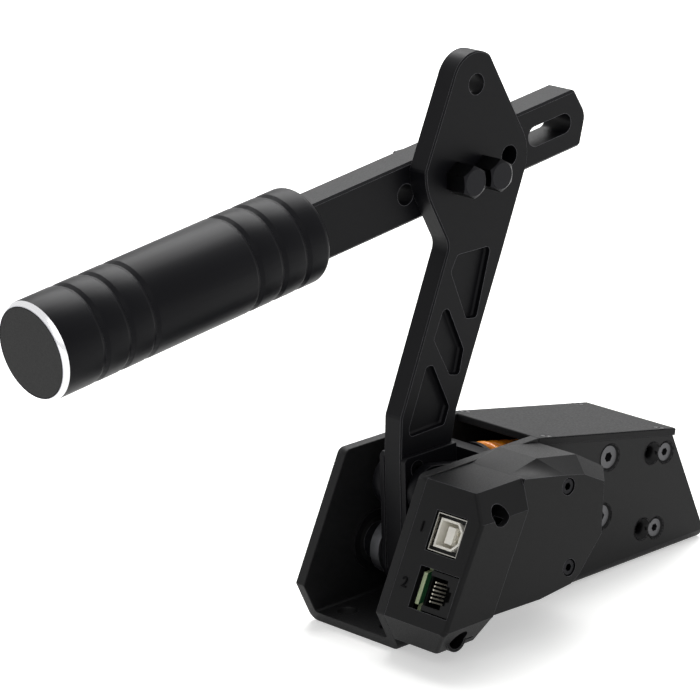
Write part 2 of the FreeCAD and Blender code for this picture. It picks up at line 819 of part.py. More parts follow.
def make_shaft():
    radius, flange = "shaft_diameter / 2", "flange_diameter / 2"
    shaft = turned("shaft", [("0", f"-{RING_OUT}"), (radius, f"-{RING_OUT}"), (radius, HUB_HALF),
                             (flange, HUB_HALF), (flange, FLANGE_OUT), (radius, FLANGE_OUT),
                             (radius, RING_OUT), ("0", RING_OUT)])
    drill(shaft, "XY_Plane", [("0", "0", "shaft_screw_thread + 2 * thread_clearance")],
          RING_OUT, "shaft_screw_length + tap_spare", both=False)
    drill(shaft, "XY_Plane", [("0", "0", "magnet_pin_diameter")],
          f"-{RING_OUT}", "magnet_pin_length + tap_spare", both=False, back=True)
    towards_far(shaft, "pivot_x", "0", "pivot_z")
    spots = [(x, FLANGE_OUT, z) for x, z, _ in flange_holes()]
    tool = sinks("flange_sink", "flange_screw_thread", "flange_screw_head",
                 "flange_thickness + tool_overrun", spots, towards_far)
    keep("pivot_shaft", cut_away("pivot_shaft", shaft, [tool]))
    screw = flat_screw("flange_screw", "flange_screw_thread", "flange_screw_head",
                       "flange_thickness + flange_screw_bite")
    keep("flange_screws", copies("flange_screws", screw, spots, towards_far))


def flange_holes():
    """The four screws that fix the shaft's flange to the hub."""
    return [(f"pivot_x + flange_screw_ring / 2 * cos({a})", f"pivot_z + flange_screw_ring / 2 * sin({a})",
             "flange_screw_thread + 2 * thread_clearance") for a in (45, 135, 225, 315)]


def make_shaft_ends():
    """Spacers that hold the lever central, the far end washer and the magnet at the near end."""
    bore, wide = "shaft_diameter / 2 + thread_clearance", "spacer_diameter / 2"
    near = tube("near_spacer", wide, bore, f"{RING_IN} - {HUB_HALF}")
    keep("near_spacer", towards_near(near, "pivot_x", f"-{HUB_HALF}", "pivot_z"))
    far = tube("far_spacer", wide, bore, f"{RING_IN} - {FLANGE_OUT}")
    keep("far_spacer", towards_far(far, "pivot_x", FLANGE_OUT, "pivot_z"))
    washer = tube("end_washer", "end_washer_diameter / 2", "shaft_screw_thread / 2 + hole_clearance / 2",
                  "end_washer_thickness")
    keep("shaft_end_washer", towards_far(washer, "pivot_x", RING_OUT, "pivot_z"))
    screw = cap_screw("end_screw", "shaft_screw_thread", "shaft_screw_head", "shaft_screw_head_height",
                      "shaft_screw_length")
    keep("shaft_end_screw", towards_far(screw, "pivot_x", f"{RING_OUT} + end_washer_thickness", "pivot_z"))
    rim, seat = "magnet_diameter / 2", f"({MAGNET_END} - magnet_thickness)"
    cup = turned("magnet_cup", [("0", "0"), (bore, "0"), (bore, MAGNET_END), (rim, MAGNET_END), (rim, seat),
                                ("0", seat)])
    pad(cup, circles(cup, "XY_Plane", [("0", "0", "magnet_pin_diameter")]), "magnet_pin_length", back=True)
    keep("magnet_holder", towards_near(cup, "pivot_x", f"-{RING_OUT}", "pivot_z"))
    magnet = tube("magnet_disc", rim, "0", "magnet_thickness")
    keep("magnet", towards_near(magnet, "pivot_x", f"-({RING_OUT} + {seat})", "pivot_z"))


def hub_outline(top):
    """The lower end of the lever, with its round corners, as far up as the two top corners."""
    in_rear = f"hub_rear_round * {ROUND_SHARE}"
    in_front = f"hub_front_round * {ROUND_SHARE}"
    return [(HUB_REAR, f"{HUB_BOTTOM} + hub_rear_round", f"{HUB_REAR} - {in_rear}", f"{HUB_BOTTOM} + {in_rear}"),
            (f"{HUB_REAR} - hub_rear_round", HUB_BOTTOM),
            (f"{HUB_FRONT} + hub_front_round", HUB_BOTTOM,
             f"{HUB_FRONT} + {in_front}", f"{HUB_BOTTOM} + {in_front}"),
            (HUB_FRONT, f"{HUB_BOTTOM} + hub_front_round")] + top


def by_hub(x, z):
    """A place of the leg, from the pivot's line and the top of the hub."""
    return f"pivot_x + {x}", f"{HUB_TOP} + {z}"


def by_leg(x, z):
    """A place of the leg, from halfway between the hub and the bar."""
    return f"(pivot_x + bar_x) / 2 + {x}", f"({HUB_TOP} + bar_z) / 2 + {z}"


def by_bar(x, z):
    """A place of the lever's head, from the middle of the bar's clamp."""
    return f"bar_x + {x}", f"bar_z + {z}"


def make_arm():
    """The flat lever plate: a leg that leans back, a neck and a wide head round the bar."""
    arm = body("arm_plate")
    leg_front, leg_rear = by_hub(-7.3, 13), by_hub(17.9, 9.9)
    neck = [by_bar(-15.4, -24.25) + by_bar(-14.7, -21.55), by_bar(-15.4, -18.85)]
    head_front = [by_bar(-21.9, -6.05) + by_bar(-23.8, -0.55), by_bar(-24.2, 5.05)]
    head_top = [by_bar(-10.2, 35.15) + by_bar(-0.9, 40.65), by_bar(5.9, 38.25)]
    head_rear = [by_bar(20.3, 11.15) + by_bar(22.4, 4.85), by_bar(21.9, -1.45), by_bar(10.3, -28.05)]
    shape = hub_outline([(HUB_FRONT, HUB_TOP), leg_front] + neck + head_front + head_top + head_rear
                        + [leg_rear, (HUB_REAR, HUB_TOP)])
    pad(arm, outline(arm, "XZ_Plane", shape), "arm_thickness", both=True)
    dress(arm, "Chamfer", "arm_edge", above(HUB_TOP, level_with(ARM_HALF, "y")))
    row = clamp_line() + [along_bar("clamp_station + 3 * clamp_pitch / 2", "clamp_spare_rise")]
    drill(arm, "XZ_Plane", [(x, z, "arm_hole") for x, z in row + [by_bar(-0.9, 29.85)]])
    drill(arm, "XZ_Plane", [("pivot_x", "pivot_z", "shaft_diameter"), (LINK_X, LINK_Z, PIN_HOLE)])
    drill(arm, "XZ_Plane", [(x, z, HUB_TAP) for x, z in HUB_SPOTS])
    drill(arm, "XZ_Plane", flange_holes(), f"-{ARM_HALF}", "flange_screw_bite", both=False, back=True)
    for corners in LIGHTENING:
        pocket(arm, outline(arm, "XZ_Plane", corners, f"{ARM_HALF} - pocket_depth"), back=True)
    dress(arm, "Fillet", "pocket_corner", as_deep_as("pocket_depth"))
    dress(arm, "Fillet", "pocket_floor_round", level_with(f"{ARM_HALF} - pocket_depth", "y"))
    keep("lever_arm", place(arm, "0"))


PIN_HOLE = "pin_diameter + hole_clearance"
HUB_TAP = "hub_screw_thread + 2 * thread_clearance"
HUB_SPOTS = [(f"{HUB_REAR} - hub_lower_screw_in", "pivot_z + hub_lower_screw_up"),
             (f"{HUB_FRONT} + hub_upper_screw_in", f"{HUB_TOP} - hub_upper_screw_down")]

# The corners of the three pockets in the leg's near face
LIGHTENING = [
    [by_bar(-13.8, -30.35), by_bar(-7.3, -47.55), by_bar(-2.5, -48.25), by_bar(4.7, -25.25),
     by_bar(-10.7, -25.15)],
    [by_leg(-7.05, -7.5), by_leg(-0.25, -21), by_leg(4.15, -22), by_leg(6.45, -13.6),
     by_leg(-0.15, 1.8), by_leg(-2.65, 1.4)],
    [by_hub(-3.8, 9.3), by_hub(-3.8, 6), by_hub(12, 6.5), by_hub(14.5, 12.2),
     by_hub(7.4, 28.1), by_hub(4.4, 28.1)]]


def make_cheeks():
    """Two thin plates that thicken the hub where the shaft and the link pin go through."""
    shape = hub_outline([(HUB_FRONT, f"{HUB_TOP} - cheek_corner"), (f"{HUB_FRONT} + cheek_corner", HUB_TOP),
                         (HUB_REAR, HUB_TOP)])
    for word, side in (("near", "-1"), ("far", "1")):
        cheek = body(f"{word}_cheek")
        middle = f"-{side} * ({ARM_HALF} + cheek_thickness / 2)"
        pad(cheek, outline(cheek, "XZ_Plane", shape, middle), "cheek_thickness", both=True)
        holes = [("pivot_x", "pivot_z", "shaft_diameter"), (LINK_X, LINK_Z, PIN_HOLE)]
        holes += [(x, z, HUB_TAP) for x, z in HUB_SPOTS]
        if side == "1":
            holes += flange_holes()
        drill(cheek, "XZ_Plane", holes)
        place(cheek, "0")
        if side == "-1":
            sink = turned("hub_sink", flat_sink("hub_screw_thread", "hub_screw_head",
                                                "cheek_thickness", "thread_clearance"))
            tool = copies("hub_sink_set", sink, [(x, f"-{HUB_HALF}", z) for x, z in HUB_SPOTS], towards_near)
            cheek = cut_away("near_hub_cheek", cheek, [tool])
        keep(f"{word}_hub_cheek", cheek)
    screw = flat_screw("hub_screw", "hub_screw_thread", "hub_screw_head", f"2 * {HUB_HALF}")
    keep("hub_screws", copies("hub_screws", screw, [(x, f"-{HUB_HALF}", z) for x, z in HUB_SPOTS],
                              towards_near))


def make_bar():
    """The flat bar that carries the grip, slotted so that it slides on the lever's head."""
    bar = body("bar")
    top = "bar_depth / 2"
    nose = "bar_rear + bar_nose"
    shape = [("-grip_start", f"-{top}"), ("bar_rear", f"-{top}"), (nose, "-bar_nose_half"),
             (nose, "bar_nose_half"), ("bar_rear", top), ("-grip_start", top)]
    pad(bar, outline(bar, "XZ_Plane", shape), "bar_thickness", both=True)
    dress(bar, "Chamfer", "bar_chamfer", level_with("bar_thickness / 2", "y"))
    for word, rise in (("clamp", "clamp_slot_rise"), ("rear", "0")):
        pocket(bar, outline(bar, "XZ_Plane", slot_outline(
            f"{word}_slot_middle", rise, f"{word}_slot_length", f"{word}_slot_width")), both=True)
    drill(bar, "XZ_Plane", [("bar_pin_station", "0", "bar_pin_hole")])
    drill(bar, "YZ_Plane", [("0", "0", "grip_bolt_thread + 2 * thread_clearance")],
          "-grip_start", "grip_bolt_depth + 6 * tap_spare", both=False, back=True)
    keep("handle_bar", place(bar, "bar_x", BAR_MIDDLE, "bar_z", turn="-bar_tilt"))


def clamp_line():
    """The places of the two clamp bolts, the front one a little above the bar's line."""
    return [along_bar("clamp_station - clamp_pitch / 2", "clamp_front_rise"),
            along_bar("clamp_station + clamp_pitch / 2")]


def clamp_spots(y):
    return [(x, y, z) for x, z in clamp_line()]


def make_clamp():
    """Two hexagon bolts through the lever's head and the bar's slot, with washers and nuts."""
    bolt = body("clamp_bolt")
    pad(bolt, hexagon(bolt, "clamp_head_width", first=30), "clamp_head_height")
    shank = "arm_thickness + bar_thickness + clamp_washer_thickness + clamp_nut_height + clamp_tail"
    pad(bolt, circles(bolt, "XY_Plane", [("0", "0", "clamp_thread")]), shank, back=True)
    face, rim = "clamp_head_face / 2", "clamp_head_width"
    fall = f"({rim} - {face}) * tan(clamp_head_slant)"
    high = "clamp_head_height + tool_overrun"
    trim = turned("clamp_head_trim", [(face, "clamp_head_height"), (rim, f"clamp_head_height - {fall}"),
                                      (rim, high), (face, high)])
    bolt = cut_away("clamp_bolt_trimmed", bolt, [trim])
    keep("clamp_bolts", copies("clamp_bolts", bolt, clamp_spots(f"-{ARM_HALF}"), towards_near))
    washer = tube("clamp_ring", "clamp_washer / 2", "clamp_thread / 2 + hole_clearance / 2",
                  "clamp_washer_thickness")
    keep("clamp_washers", copies("clamp_washers", washer, clamp_spots(BAR_FAR), towards_far))
    nut = body("clamp_nut")
    pad(nut, hexagon(nut, "clamp_nut_width"), "clamp_nut_height")
    drill(nut, "XY_Plane", [("0", "0", "clamp_thread + 2 * thread_clearance")])
    keep("clamp_nuts", copies("clamp_nuts", nut, clamp_spots(f"{BAR_FAR} + clamp_washer_thickness"),
                              towards_far))


def groove(height):
    """A V groove round the grip at a height above its rear end."""
    radius, half = "grip_diameter / 2", "groove_width / 2"
    return [(radius, f"{height} - {half}"), (f"{radius} - groove_depth", height),
            (radius, f"{height} + {half}")]


def make_grip():
    """A turned grip: three grooves at each end and a bright chamfer at the front."""
    radius, end = "grip_diameter / 2", "grip_length"
    bore = "grip_bolt_thread / 2 + hole_clearance / 2"
    disc = f"{radius} - disc_border"
    rounded = f"grip_rear_round * {ROUND_SHARE}"
    profile = [(bore, "0"), (f"{radius} - grip_rear_round", "0", f"{radius} - {rounded}", rounded),
               (radius, "grip_rear_round")]
    for i in (1, 2, 3):
        profile += groove(f"groove_pitch * {i}")
    for i in (2, 1, 0):
        profile += groove(f"{end} - front_groove - groove_pitch * {i}")
    profile += [(radius, f"{end} - grip_end_chamfer"), (disc, end), (disc, f"{end} - grip_disc_depth"),
                ("grip_hollow / 2", f"{end} - grip_disc_depth"), ("grip_hollow / 2", "grip_floor"),
                (bore, "grip_floor")]
    x, z = along_bar("-grip_start")
    turn = "-(90 + bar_tilt)"
    keep("grip_sleeve", place(turned("sleeve", profile), x, BAR_MIDDLE, z, turn=turn))
    rim, thick = f"({disc} - disc_play)", "(grip_disc_depth - disc_play)"
    disc_piece = turned("disc", [("0", "0"), (rim, "0"), (rim, f"{thick} - cap_edge"),
                                 (f"{rim} - cap_edge", thick), ("0", thick)])
    x, z = along_bar("-(grip_start + grip_length - grip_disc_depth)")
    keep("grip_end_disc", place(disc_piece, x, BAR_MIDDLE, z, turn=turn))
    bolt = cap_screw("grip_screw", "grip_bolt_thread", "grip_bolt_head", "grip_bolt_thread",
                     "grip_floor + grip_bolt_depth")
    x, z = along_bar("-(grip_start + grip_floor)")
    keep("grip_bolt", place(bolt, x, BAR_MIDDLE, z, turn=turn))


# Push rod line: yoke, spring, brackets and damper

def make_yoke():
    """A block with two round ears that straddle the hub."""
    yoke = body("yoke_block")
    up = "yoke_height / 2"
    block = [("yoke_front", f"-{up}"), (SEAT_FRONT, f"-{up}"), (SEAT_FRONT, up), ("yoke_front", up)]
    pad(yoke, outline(yoke, "XZ_Plane", block), "yoke_width", both=True)
    dress(yoke, "Chamfer", "yoke_edge", level_with(SEAT_FRONT, "x"))
    root = "yoke_front + yoke_edge"
    ear = [("0", "-ear_radius"), (root, "-ear_radius"), (root, "ear_radius"),
           ("0", "ear_radius", "-ear_radius", "0")]
    for side in (1, -1):
        middle = f"{side} * ({EAR_IN} + ear_thickness / 2)"
        pad(yoke, outline(yoke, "XZ_Plane", ear, middle), "ear_thickness", both=True)
    drill(yoke, "XZ_Plane", [("0", "0", "pin_diameter")])
    drill(yoke, "YZ_Plane", [("0", "0", "rod_diameter + 2 * thread_clearance")])
    keep("yoke", on_rod(yoke, "0"))
    groove_at = f"({EAR_OUT} + clip_thickness)"
    end, radius = f"({groove_at} + pin_tail)", "pin_diameter / 2"
    neck = f"({radius} - clip_groove)"
    link_pin = turned("link_pin", [("0", f"-{end}"), (radius, f"-{end}"), (radius, f"-{groove_at}"),
                                   (neck, f"-{groove_at}"), (neck, f"-{EAR_OUT}"), (radius, f"-{EAR_OUT}"),
                                   (radius, EAR_OUT), (neck, EAR_OUT), (neck, groove_at), (radius, groove_at),
                                   (radius, end), ("0", end)])
    keep("yoke_pin", towards_far(link_pin, LINK_X, "0", LINK_Z))
    clip = tube("pin_clip", f"{radius} + clip_width", neck, "clip_thickness")
    drill(clip, "XY_Plane", [(f"-({radius} + clip_width / 2)", "0", "clip_mouth")])
    sides = [(LINK_X, f"{side} * {EAR_OUT}", LINK_Z, lay) for side, lay in SIDES]
    keep("pin_clips", copies("pin_clips", clip, sides, lambda thing, x, y, z, lay: lay(thing, x, y, z)))


def make_rod_line():
    start = "yoke_front + rod_chamfer"
    length = f"({NUT_REAR} + rod_tail - ({start}))"
    rod = turned("rod", [("0", "0"), ("rod_diameter / 2", "0"), ("rod_diameter / 2", f"{length} - rod_chamfer"),
                         ("rod_diameter / 2 - rod_chamfer", length), ("0", length)])
    keep("push_rod", on_rod(rod, start, turn="90"))
    bore = "rod_diameter / 2 + thread_clearance"
    seat = tube("seat", "seat_diameter / 2", bore, "seat_thickness")
    keep("spring_seat", on_rod(seat, SEAT_FRONT, turn="90"))
    washer = tube("stop_ring", "stop_washer_diameter / 2", bore, "stop_washer_thickness")
    keep("stop_washer", on_rod(washer, MIDDLE_REAR, turn="90"))
    nut = body("rod_nut")
    pad(nut, hexagon(nut, "stop_nut_width"), "stop_nut_height")
    drill(nut, "XY_Plane", [("0", "0", "rod_diameter + 2 * thread_clearance")])
    keep("stop_nut", on_rod(nut, NUT_FRONT, turn="90"))
    length = f"({REAR_FRONT} - {NUT_REAR} - slide_clearance)"
    damper = turned("damper_ring", [("damper_bore / 2", "0"), ("damper_diameter / 2 - damper_edge", "0"),
                                    ("damper_diameter / 2", "damper_edge"), ("damper_diameter / 2", length),
                                    ("damper_bore / 2", length)])
    keep("damper", on_rod(damper, f"{NUT_REAR} + slide_clearance", turn="90"))


def make_bracket(word, station, depth, upper, lower, edge, thread, head, hole):
    """A cross block between the walls, with screws into it from both sides."""
    block = body(f"{word}_block")
    low, half = f"-({lower} + {edge})", f"{depth} / 2"
    top = f"(({COVER_LINE} - {LINK_Z}) * cos(top_slope) - cover_thickness - bracket_gap)"
    shape = [(f"-{half}", low), (half, low), (half, top), (f"-{half}", top)]
    pad(block, outline(block, "XZ_Plane", shape), f"2 * {INNER}", both=True)
    dress(block, "Chamfer", "block_edge", level_with(top))
    drill(block, "XZ_Plane", [("0", upper, f"{thread} + 2 * thread_clearance"),
                              ("0", f"-{lower}", f"{thread} + 2 * thread_clearance")])
    drill(block, "YZ_Plane", [("0", "0", hole)])
    keep(f"{word}_bracket", on_rod(block, station))
    screw = flat_screw(f"{word}_screw", thread, head, f"plate_thickness + {thread} * screw_bite_share")
    spots = [along_rod(station, upper), along_rod(station, f"-{lower}")]
    keep(f"{word}_bracket_screws", copies(f"{word}_bracket_screws", screw, both_sides(spots), sunk_put))


def biarc(first, way, last, last_way):
    """Two arcs from one point to the next, with the given directions at the two ends."""
    chord = last - first
    total = way + last_way
    gap = 2 * (1 - way.dot(last_way))
    reach = (-chord.dot(total) + math.sqrt(chord.dot(total) ** 2 + gap * chord.dot(chord))) / gap
    joint = (first + last + (way - last_way) * reach) * 0.5
    return [arc_from(first, way, joint), arc_from(last, last_way * -1, joint)]


def arc_from(point, way, end):
    """The arc that leaves a point in a direction and ends at another point."""
    chord = end - point
    along = Vector(chord).normalize()
    side = (way - along * way.dot(along)).normalize()
    half_turn = math.acos(max(-1, min(1, way.dot(along))))
    middle = point + chord * 0.5 + side * (chord.Length / 2 * math.tan(half_turn / 2))
    return Part.Arc(point, middle, end).toShape()


def make_spring():
    """The return spring: one round wire in even turns round the push rod."""
    wire, turns = num("wire_diameter"), num("coil_turns")
    radius = (num("coil_diameter") - wire) / 2
    play = num("coil_play")
    length = num(f"{MIDDLE_FRONT} - {COIL_FRONT}") - wire - 2 * play
    rise = length / turns

    def spot(turn):
        angle = 2 * math.pi * turn
        return Vector(radius * math.cos(angle), radius * math.sin(angle), wire / 2 + play + rise * turn)

    def way(turn):
        angle = 2 * math.pi * turn
        return Vector(-math.sin(angle), math.cos(angle), rise / (2 * math.pi * radius)).normalize()

    quarters = int(round(turns * 4))
    edges = []
    for i in range(quarters):
        edges += biarc(spot(i / 4), way(i / 4), spot((i + 1) / 4), way((i + 1) / 4))
    path = Part.Wire(Part.__sortEdges__(edges))
    section = Part.Wire(Part.Circle(spot(0), way(0), wire / 2).toShape())
    shell = Part.BRepOffsetAPI.MakePipeShell(path)
    shell.add(section)
    shell.build()
    shell.makeSolid()
    per_turn = 48
    samples = [spot(i / per_turn) for i in range(int(turns * per_turn) + 1)]
    gap = min((samples[i] - samples[j]).Length
              for i in range(len(samples)) for j in range(i + per_turn // 2, len(samples))) - wire
    print(f"return spring: {turns:g} turns, least gap between turns {gap:.2f} mm")
    coil = doc.addObject("Part::Feature", "coil")
    coil.Shape = shell.shape()
    keep("return_spring", on_rod(coil, COIL_FRONT, turn="90"))


# Sensor housing and electronics on the near wall

def by_upper(x, z):
    """A place of the housing's side face, from its upper screw."""
    return f"face_screw_x + {x}", f"face_screw_upper + {z}"


def by_lower(x, z):
    """A place of the housing's side face, from its lower screw."""
    return f"face_screw_x + {x}", f"face_screw_lower + {z}"


def face_outline():
    """The flat side face, behind the front section."""
    return [(f"{SECTION_X} - section_overlap", f"{SOCKET_LOW} - 2 * section_overlap"),
            (f"{SECTION_TOP_X} - section_overlap", "housing_top - section_overlap / 4"),
            by_upper(-1.55, 4.3), by_upper(7.55, 2.3), by_upper(16.85, -2.5),
            by_lower(15.35, 7.7), by_lower(4.65, -3.5), by_lower(0.65, -5.8), by_lower(-13.85, -7.2)]


def rim_outline():
    """The wider outline behind the side face's bevel."""
    return [(f"{SECTION_X} - section_overlap", f"{SOCKET_LOW} - 3 * section_overlap"),
            (f"{SECTION_TOP_X} - rim_ramp", "housing_top - section_overlap / 4"),
            by_upper(-7.95, 10.2), by_upper(10.45, 6.9), by_upper(23.35, -0.5),
            by_lower(16.55, 7.4), by_lower(5.45, -4.3), by_lower(1.05, -6.7), by_lower(-13.75, -8)]


def front_outline():
    """The front section seen from the side, between the front plane and its rear plane."""
    return [(PANEL_LOW_X, "housing_foot"), ("0", "crease_height"), (PANEL_TOP_X, "housing_top"),
            (SECTION_TOP_X, "housing_top"), (SECTION_X, SOCKET_LOW), ("housing_foot_rear", "housing_foot")]


def clear_of_joins(edge):
    """Edges of the front section that touch neither the wall it stands on nor the plane behind it."""
    half, slope = num(HALF), (num(SECTION_TOP_X) - num(SECTION_X)) / (num("housing_top") - num(SOCKET_LOW))
    low_slope = (num(SECTION_X) - num("housing_foot_rear")) / (num(SOCKET_LOW) - num("housing_foot"))

    def joined(p):
        rise = p.z - num(SOCKET_LOW)
        behind = num(SECTION_X) + rise * (slope if rise > 0 else low_slope)
        return abs(p.y + half) < NEAR_MISS or p.x > behind - NEAR_MISS
    return not any(joined(vertex.Point) for vertex in edge.Vertexes)


def make_housing():
    """The plastic housing: a slanted front section with the sockets and a flat side face."""
    shell = body("housing_shell")
    reach, wall = "housing_reach", "housing_wall"
    pad(shell, outline(shell, "XZ_Plane", front_outline(), HALF), reach)
    edge = f"-({HALF} + {reach})"
    away, below, above = f"{edge} - tool_overrun", "-tool_overrun", "housing_top + tool_overrun"
    foot_in = f"{edge} + housing_side_taper + housing_foot_in"
    beside = [(f"{edge} + housing_chamfer_in", "housing_top"), (edge, "housing_top - housing_chamfer_down"),
              (f"{edge} + housing_side_taper", "housing_foot + housing_foot_up"), (foot_in, "housing_foot"),
              (foot_in, below), (away, below), (away, above), (f"{edge} + housing_chamfer_in", above)]
    pocket(shell, outline(shell, "YZ_Plane", beside), both=True)
    dress(shell, "Fillet", "housing_round", clear_of_joins)
    pad(shell, outline(shell, "XZ_Plane", rim_outline(), HALF), "rim_reach")
    loft = shell.newObject("PartDesign::AdditiveLoft", "face_bevel")
    loft.Profile = outline(shell, "XZ_Plane", rim_outline(), f"{HALF} + rim_reach")
    loft.Sections = [outline(shell, "XZ_Plane", face_outline(), f"{HALF} + face_reach")]
    loft.Ruled = True
    settle(loft)
    hollow_housing(shell)
    place(shell, "0")
    through = "2 * housing_wall + socket_gap"
    tools = [socket_block("data_opening", "data", DATA_MIDDLE, through, "socket_gap"),
             socket_block("jack_opening", "jack", JACK_MIDDLE, through, "socket_gap", "jack_side_room")]
    keep("sensor_housing", cut_away("sensor_housing", shell, tools))


DATA_MIDDLE = f"(-{BOARD_OUTER} - data_wide / 2 + data_sink)"
JACK_MIDDLE = f"(-{BOARD_OUTER} - jack_wide / 2)"


def socket_block(label, word, middle, length, gap, inwards="0"):
    """A cutting block that goes in through the front panel round a socket, with a gap beside it."""
    tall, wide = f"{word}_tall", f"{word}_wide"
    tool = box(label, length, f"{wide} + 2 * {gap} + {inwards}", f"{tall} + 2 * {gap}")
    x, z = on_panel(f"{word}_height")
    half = f"({tall} / 2 + {gap})"
    x = f"{x} - housing_wall * cos(front_lean) - {half} * sin(front_lean)"
    z = f"{z} + housing_wall * sin(front_lean) - {half} * cos(front_lean)"
    return place(tool, x, f"{middle} - {wide} / 2 - {gap}", z, turn="front_lean")


POSTS = [("pivot_x + 3", "pivot_z + 14.5"), ("pivot_x + 17.5", "pivot_z + 12"),
         ("pivot_x + 13.5", "pivot_z - 1.5")]


def hollow_housing(shell):
    """The inside of the housing, its screw bosses and the posts that carry the board."""
    wall = "housing_wall"
    slant = f"{wall} / cos(front_lean)"
    floor, ceiling = f"housing_foot + {wall}", f"housing_top - {wall}"
    low = f"{SOCKET_LOW} + section_overlap * 2"
    inside = [(f"{PANEL_LOW_X} + 1.3 * {slant}", floor), (slant, "crease_height - section_overlap"),
              (f"{on_panel(ceiling)[0]} + {slant}", ceiling), (f"{SECTION_TOP_X} + 8", ceiling),
              by_upper(-3.65, 2.9), by_upper(6.85, 0.3), by_upper(14.45, -3.7),
              by_lower(13.15, 8.7), by_lower(3.65, -1.5), by_lower(-0.35, -3.7), by_lower(-14.15, -5),
              (f"{SECTION_X} - 1.2 * {wall}", low), (f"housing_foot_rear - {wall}", floor)]
    pocket(shell, outline(shell, "XZ_Plane", inside, HALF), f"face_reach - {wall}", back=True)
    high = "(data_height + data_tall / 3)"
    rear = f"(({SECTION_TOP_X} - {SECTION_X}) / (housing_top - {SOCKET_LOW}))"
    behind = f"{SECTION_X} - 1.2 * {wall}"
    deeper = [(f"{on_panel(SOCKET_LOW)[0]} + 1.2 * {slant}", SOCKET_LOW), (f"{on_panel(high)[0]} + {slant}", high),
              (f"{behind} + ({high} - {SOCKET_LOW}) * {rear}", high), (behind, SOCKET_LOW)]
    pocket(shell, outline(shell, "XZ_Plane", deeper, HALF),
           "board_reach + board_thickness + jack_wide + slide_clearance", back=True)
    bosses = [(x, z, "deep_bore + 2 * boss_wall") for x, z in DEEP_SPOTS]
    bosses += [(x, z, "face_screw_head + 2 * boss_wall") for x, z in FACE_SPOTS]
    pad(shell, circles(shell, "XZ_Plane", bosses, HALF), f"face_reach - {wall} + section_overlap")
    posts = [(x, z, "post_diameter") for x, z in POSTS]
    pad(shell, circles(shell, "XZ_Plane", posts, BOARD_OUTER),
        f"face_reach + {HALF} - {BOARD_OUTER} - {wall} + section_overlap")
    drill(shell, "XZ_Plane", [(x, z, "board_screw_thread + 2 * thread_clearance") for x, z in POSTS],
          BOARD_OUTER, "board_screw_bite + tap_spare", both=False, back=True)
    drill(shell, "XZ_Plane", [(x, z, "face_screw_thread + hole_clearance") for x, z in DEEP_SPOTS + FACE_SPOTS],
          "0", both=False, back=True)
    drill(shell, "XZ_Plane", [(x, z, "deep_bore") for x, z in DEEP_SPOTS],
          f"{HALF} + deep_seat", both=False, back=True)
    drill(shell, "XZ_Plane", [(x, z, "face_screw_head + hole_clearance") for x, z in FACE_SPOTS],
          f"{HALF} + {FACE_SEAT}", both=False, back=True)


def make_housing_screws():
    for node, seat, spots in (("housing_deep_screws", "deep_seat", DEEP_SPOTS),
                              ("housing_face_screws", FACE_SEAT, FACE_SPOTS)):
        screw = cap_screw(node + "_master", "face_screw_thread", "face_screw_head",
                          "housing_screw_head_height", f"{seat} + plate_thickness")
        keep(node, copies(node, screw, [(x, f"-({HALF} + {seat})", z) for x, z in spots], towards_near))


def make_board():
    """The circuit board on three posts, cut out round the data socket, with its tab in the jack's opening."""
    board = body("board")
    low, high, step = "(pivot_z - 5.5)", "(data_height + data_tall / 3)", "(pivot_z + 18.8)"
    tab = [on_panel(f"jack_height + {side} * board_tab / 2 * cos(front_lean)", "board_tab_depth")
           for side in (-1, 1)]
    front = [low, tab[0][1], tab[1][1], high]
    edge = [(f"{on_panel(z)[0]} + board_inset", z) for z in front]
    shape = edge[:2] + tab + edge[2:] + [
        ("pivot_x - 2.6", step), ("pivot_x + 17", step), ("pivot_x + 21.2", "pivot_z + 14"),
        ("pivot_x + 21.2", "pivot_z + 2"), ("pivot_x + 16", low)]
    pad(board, outline(board, "XZ_Plane", shape, BOARD_INNER), "board_thickness")
    drill(board, "XZ_Plane", [(x, z, "board_screw_thread + hole_clearance") for x, z in POSTS])
    place(board, "0")
    notch = socket_block("board_notch", "data", DATA_MIDDLE,
                         "housing_wall + socket_recess + data_depth + socket_gap", "0")
    keep("circuit_board", cut_away("circuit_board", board, [notch]))
    screw = cap_screw("board_screw", "board_screw_thread", "board_screw_head", "board_screw_head_height",
                      "board_thickness + board_screw_bite")
    keep("board_screws", copies("board_screws", screw, [(x, f"-{BOARD_INNER}", z) for x, z in POSTS],
                                towards_far))
    small = [(-9, 0), (-9, 4), (0, 11), (15, 6.6), (-2.2, 13)]
    chips = [("sensor_chip", [(0, 0)], "sensor_chip_length", "sensor_chip_height", "sensor_chip_width"),
             ("controller_chip", [(8.5, 7.5)], "control_chip_side", "control_chip_height", "control_chip_side"),
             ("board_small_parts", small, "small_part_length", "small_part_height", "small_part_width")]
    for name, spots, long, tall, wide in chips:
        chip = box(name + "_block", long, tall, wide)
        places = [(f"pivot_x + {x} - {long} / 2", f"-{BOARD_INNER}", f"pivot_z + {z} - {wide} / 2")
                  for x, z in spots]
        keep(name, copies(name, chip, places, place))


def box(label, long, wide, tall):
    """A plain block with a corner at its own origin."""
    block = doc.addObject("Part::Box", label)
    for side, formula in (("Length", long), ("Width", wide), ("Height", tall)):
        block.setExpression(side, bound(formula))
    return settle(block)


def socket_body(label, shape, depth, recess="socket_recess"):
    """A block behind the front panel, square to it, from an outline across the panel."""
    piece = body(label)
    pad(piece, outline(piece, "YZ_Plane", shape, recess), depth)
    return piece


def rectangle(y, z, wide, tall):
    return [(f"{y} - {wide} / 2", f"{z} - {tall} / 2"), (f"{y} + {wide} / 2", f"{z} - {tall} / 2"),
            (f"{y} + {wide} / 2", f"{z} + {tall} / 2"), (f"{y} - {wide} / 2", f"{z} + {tall} / 2")]


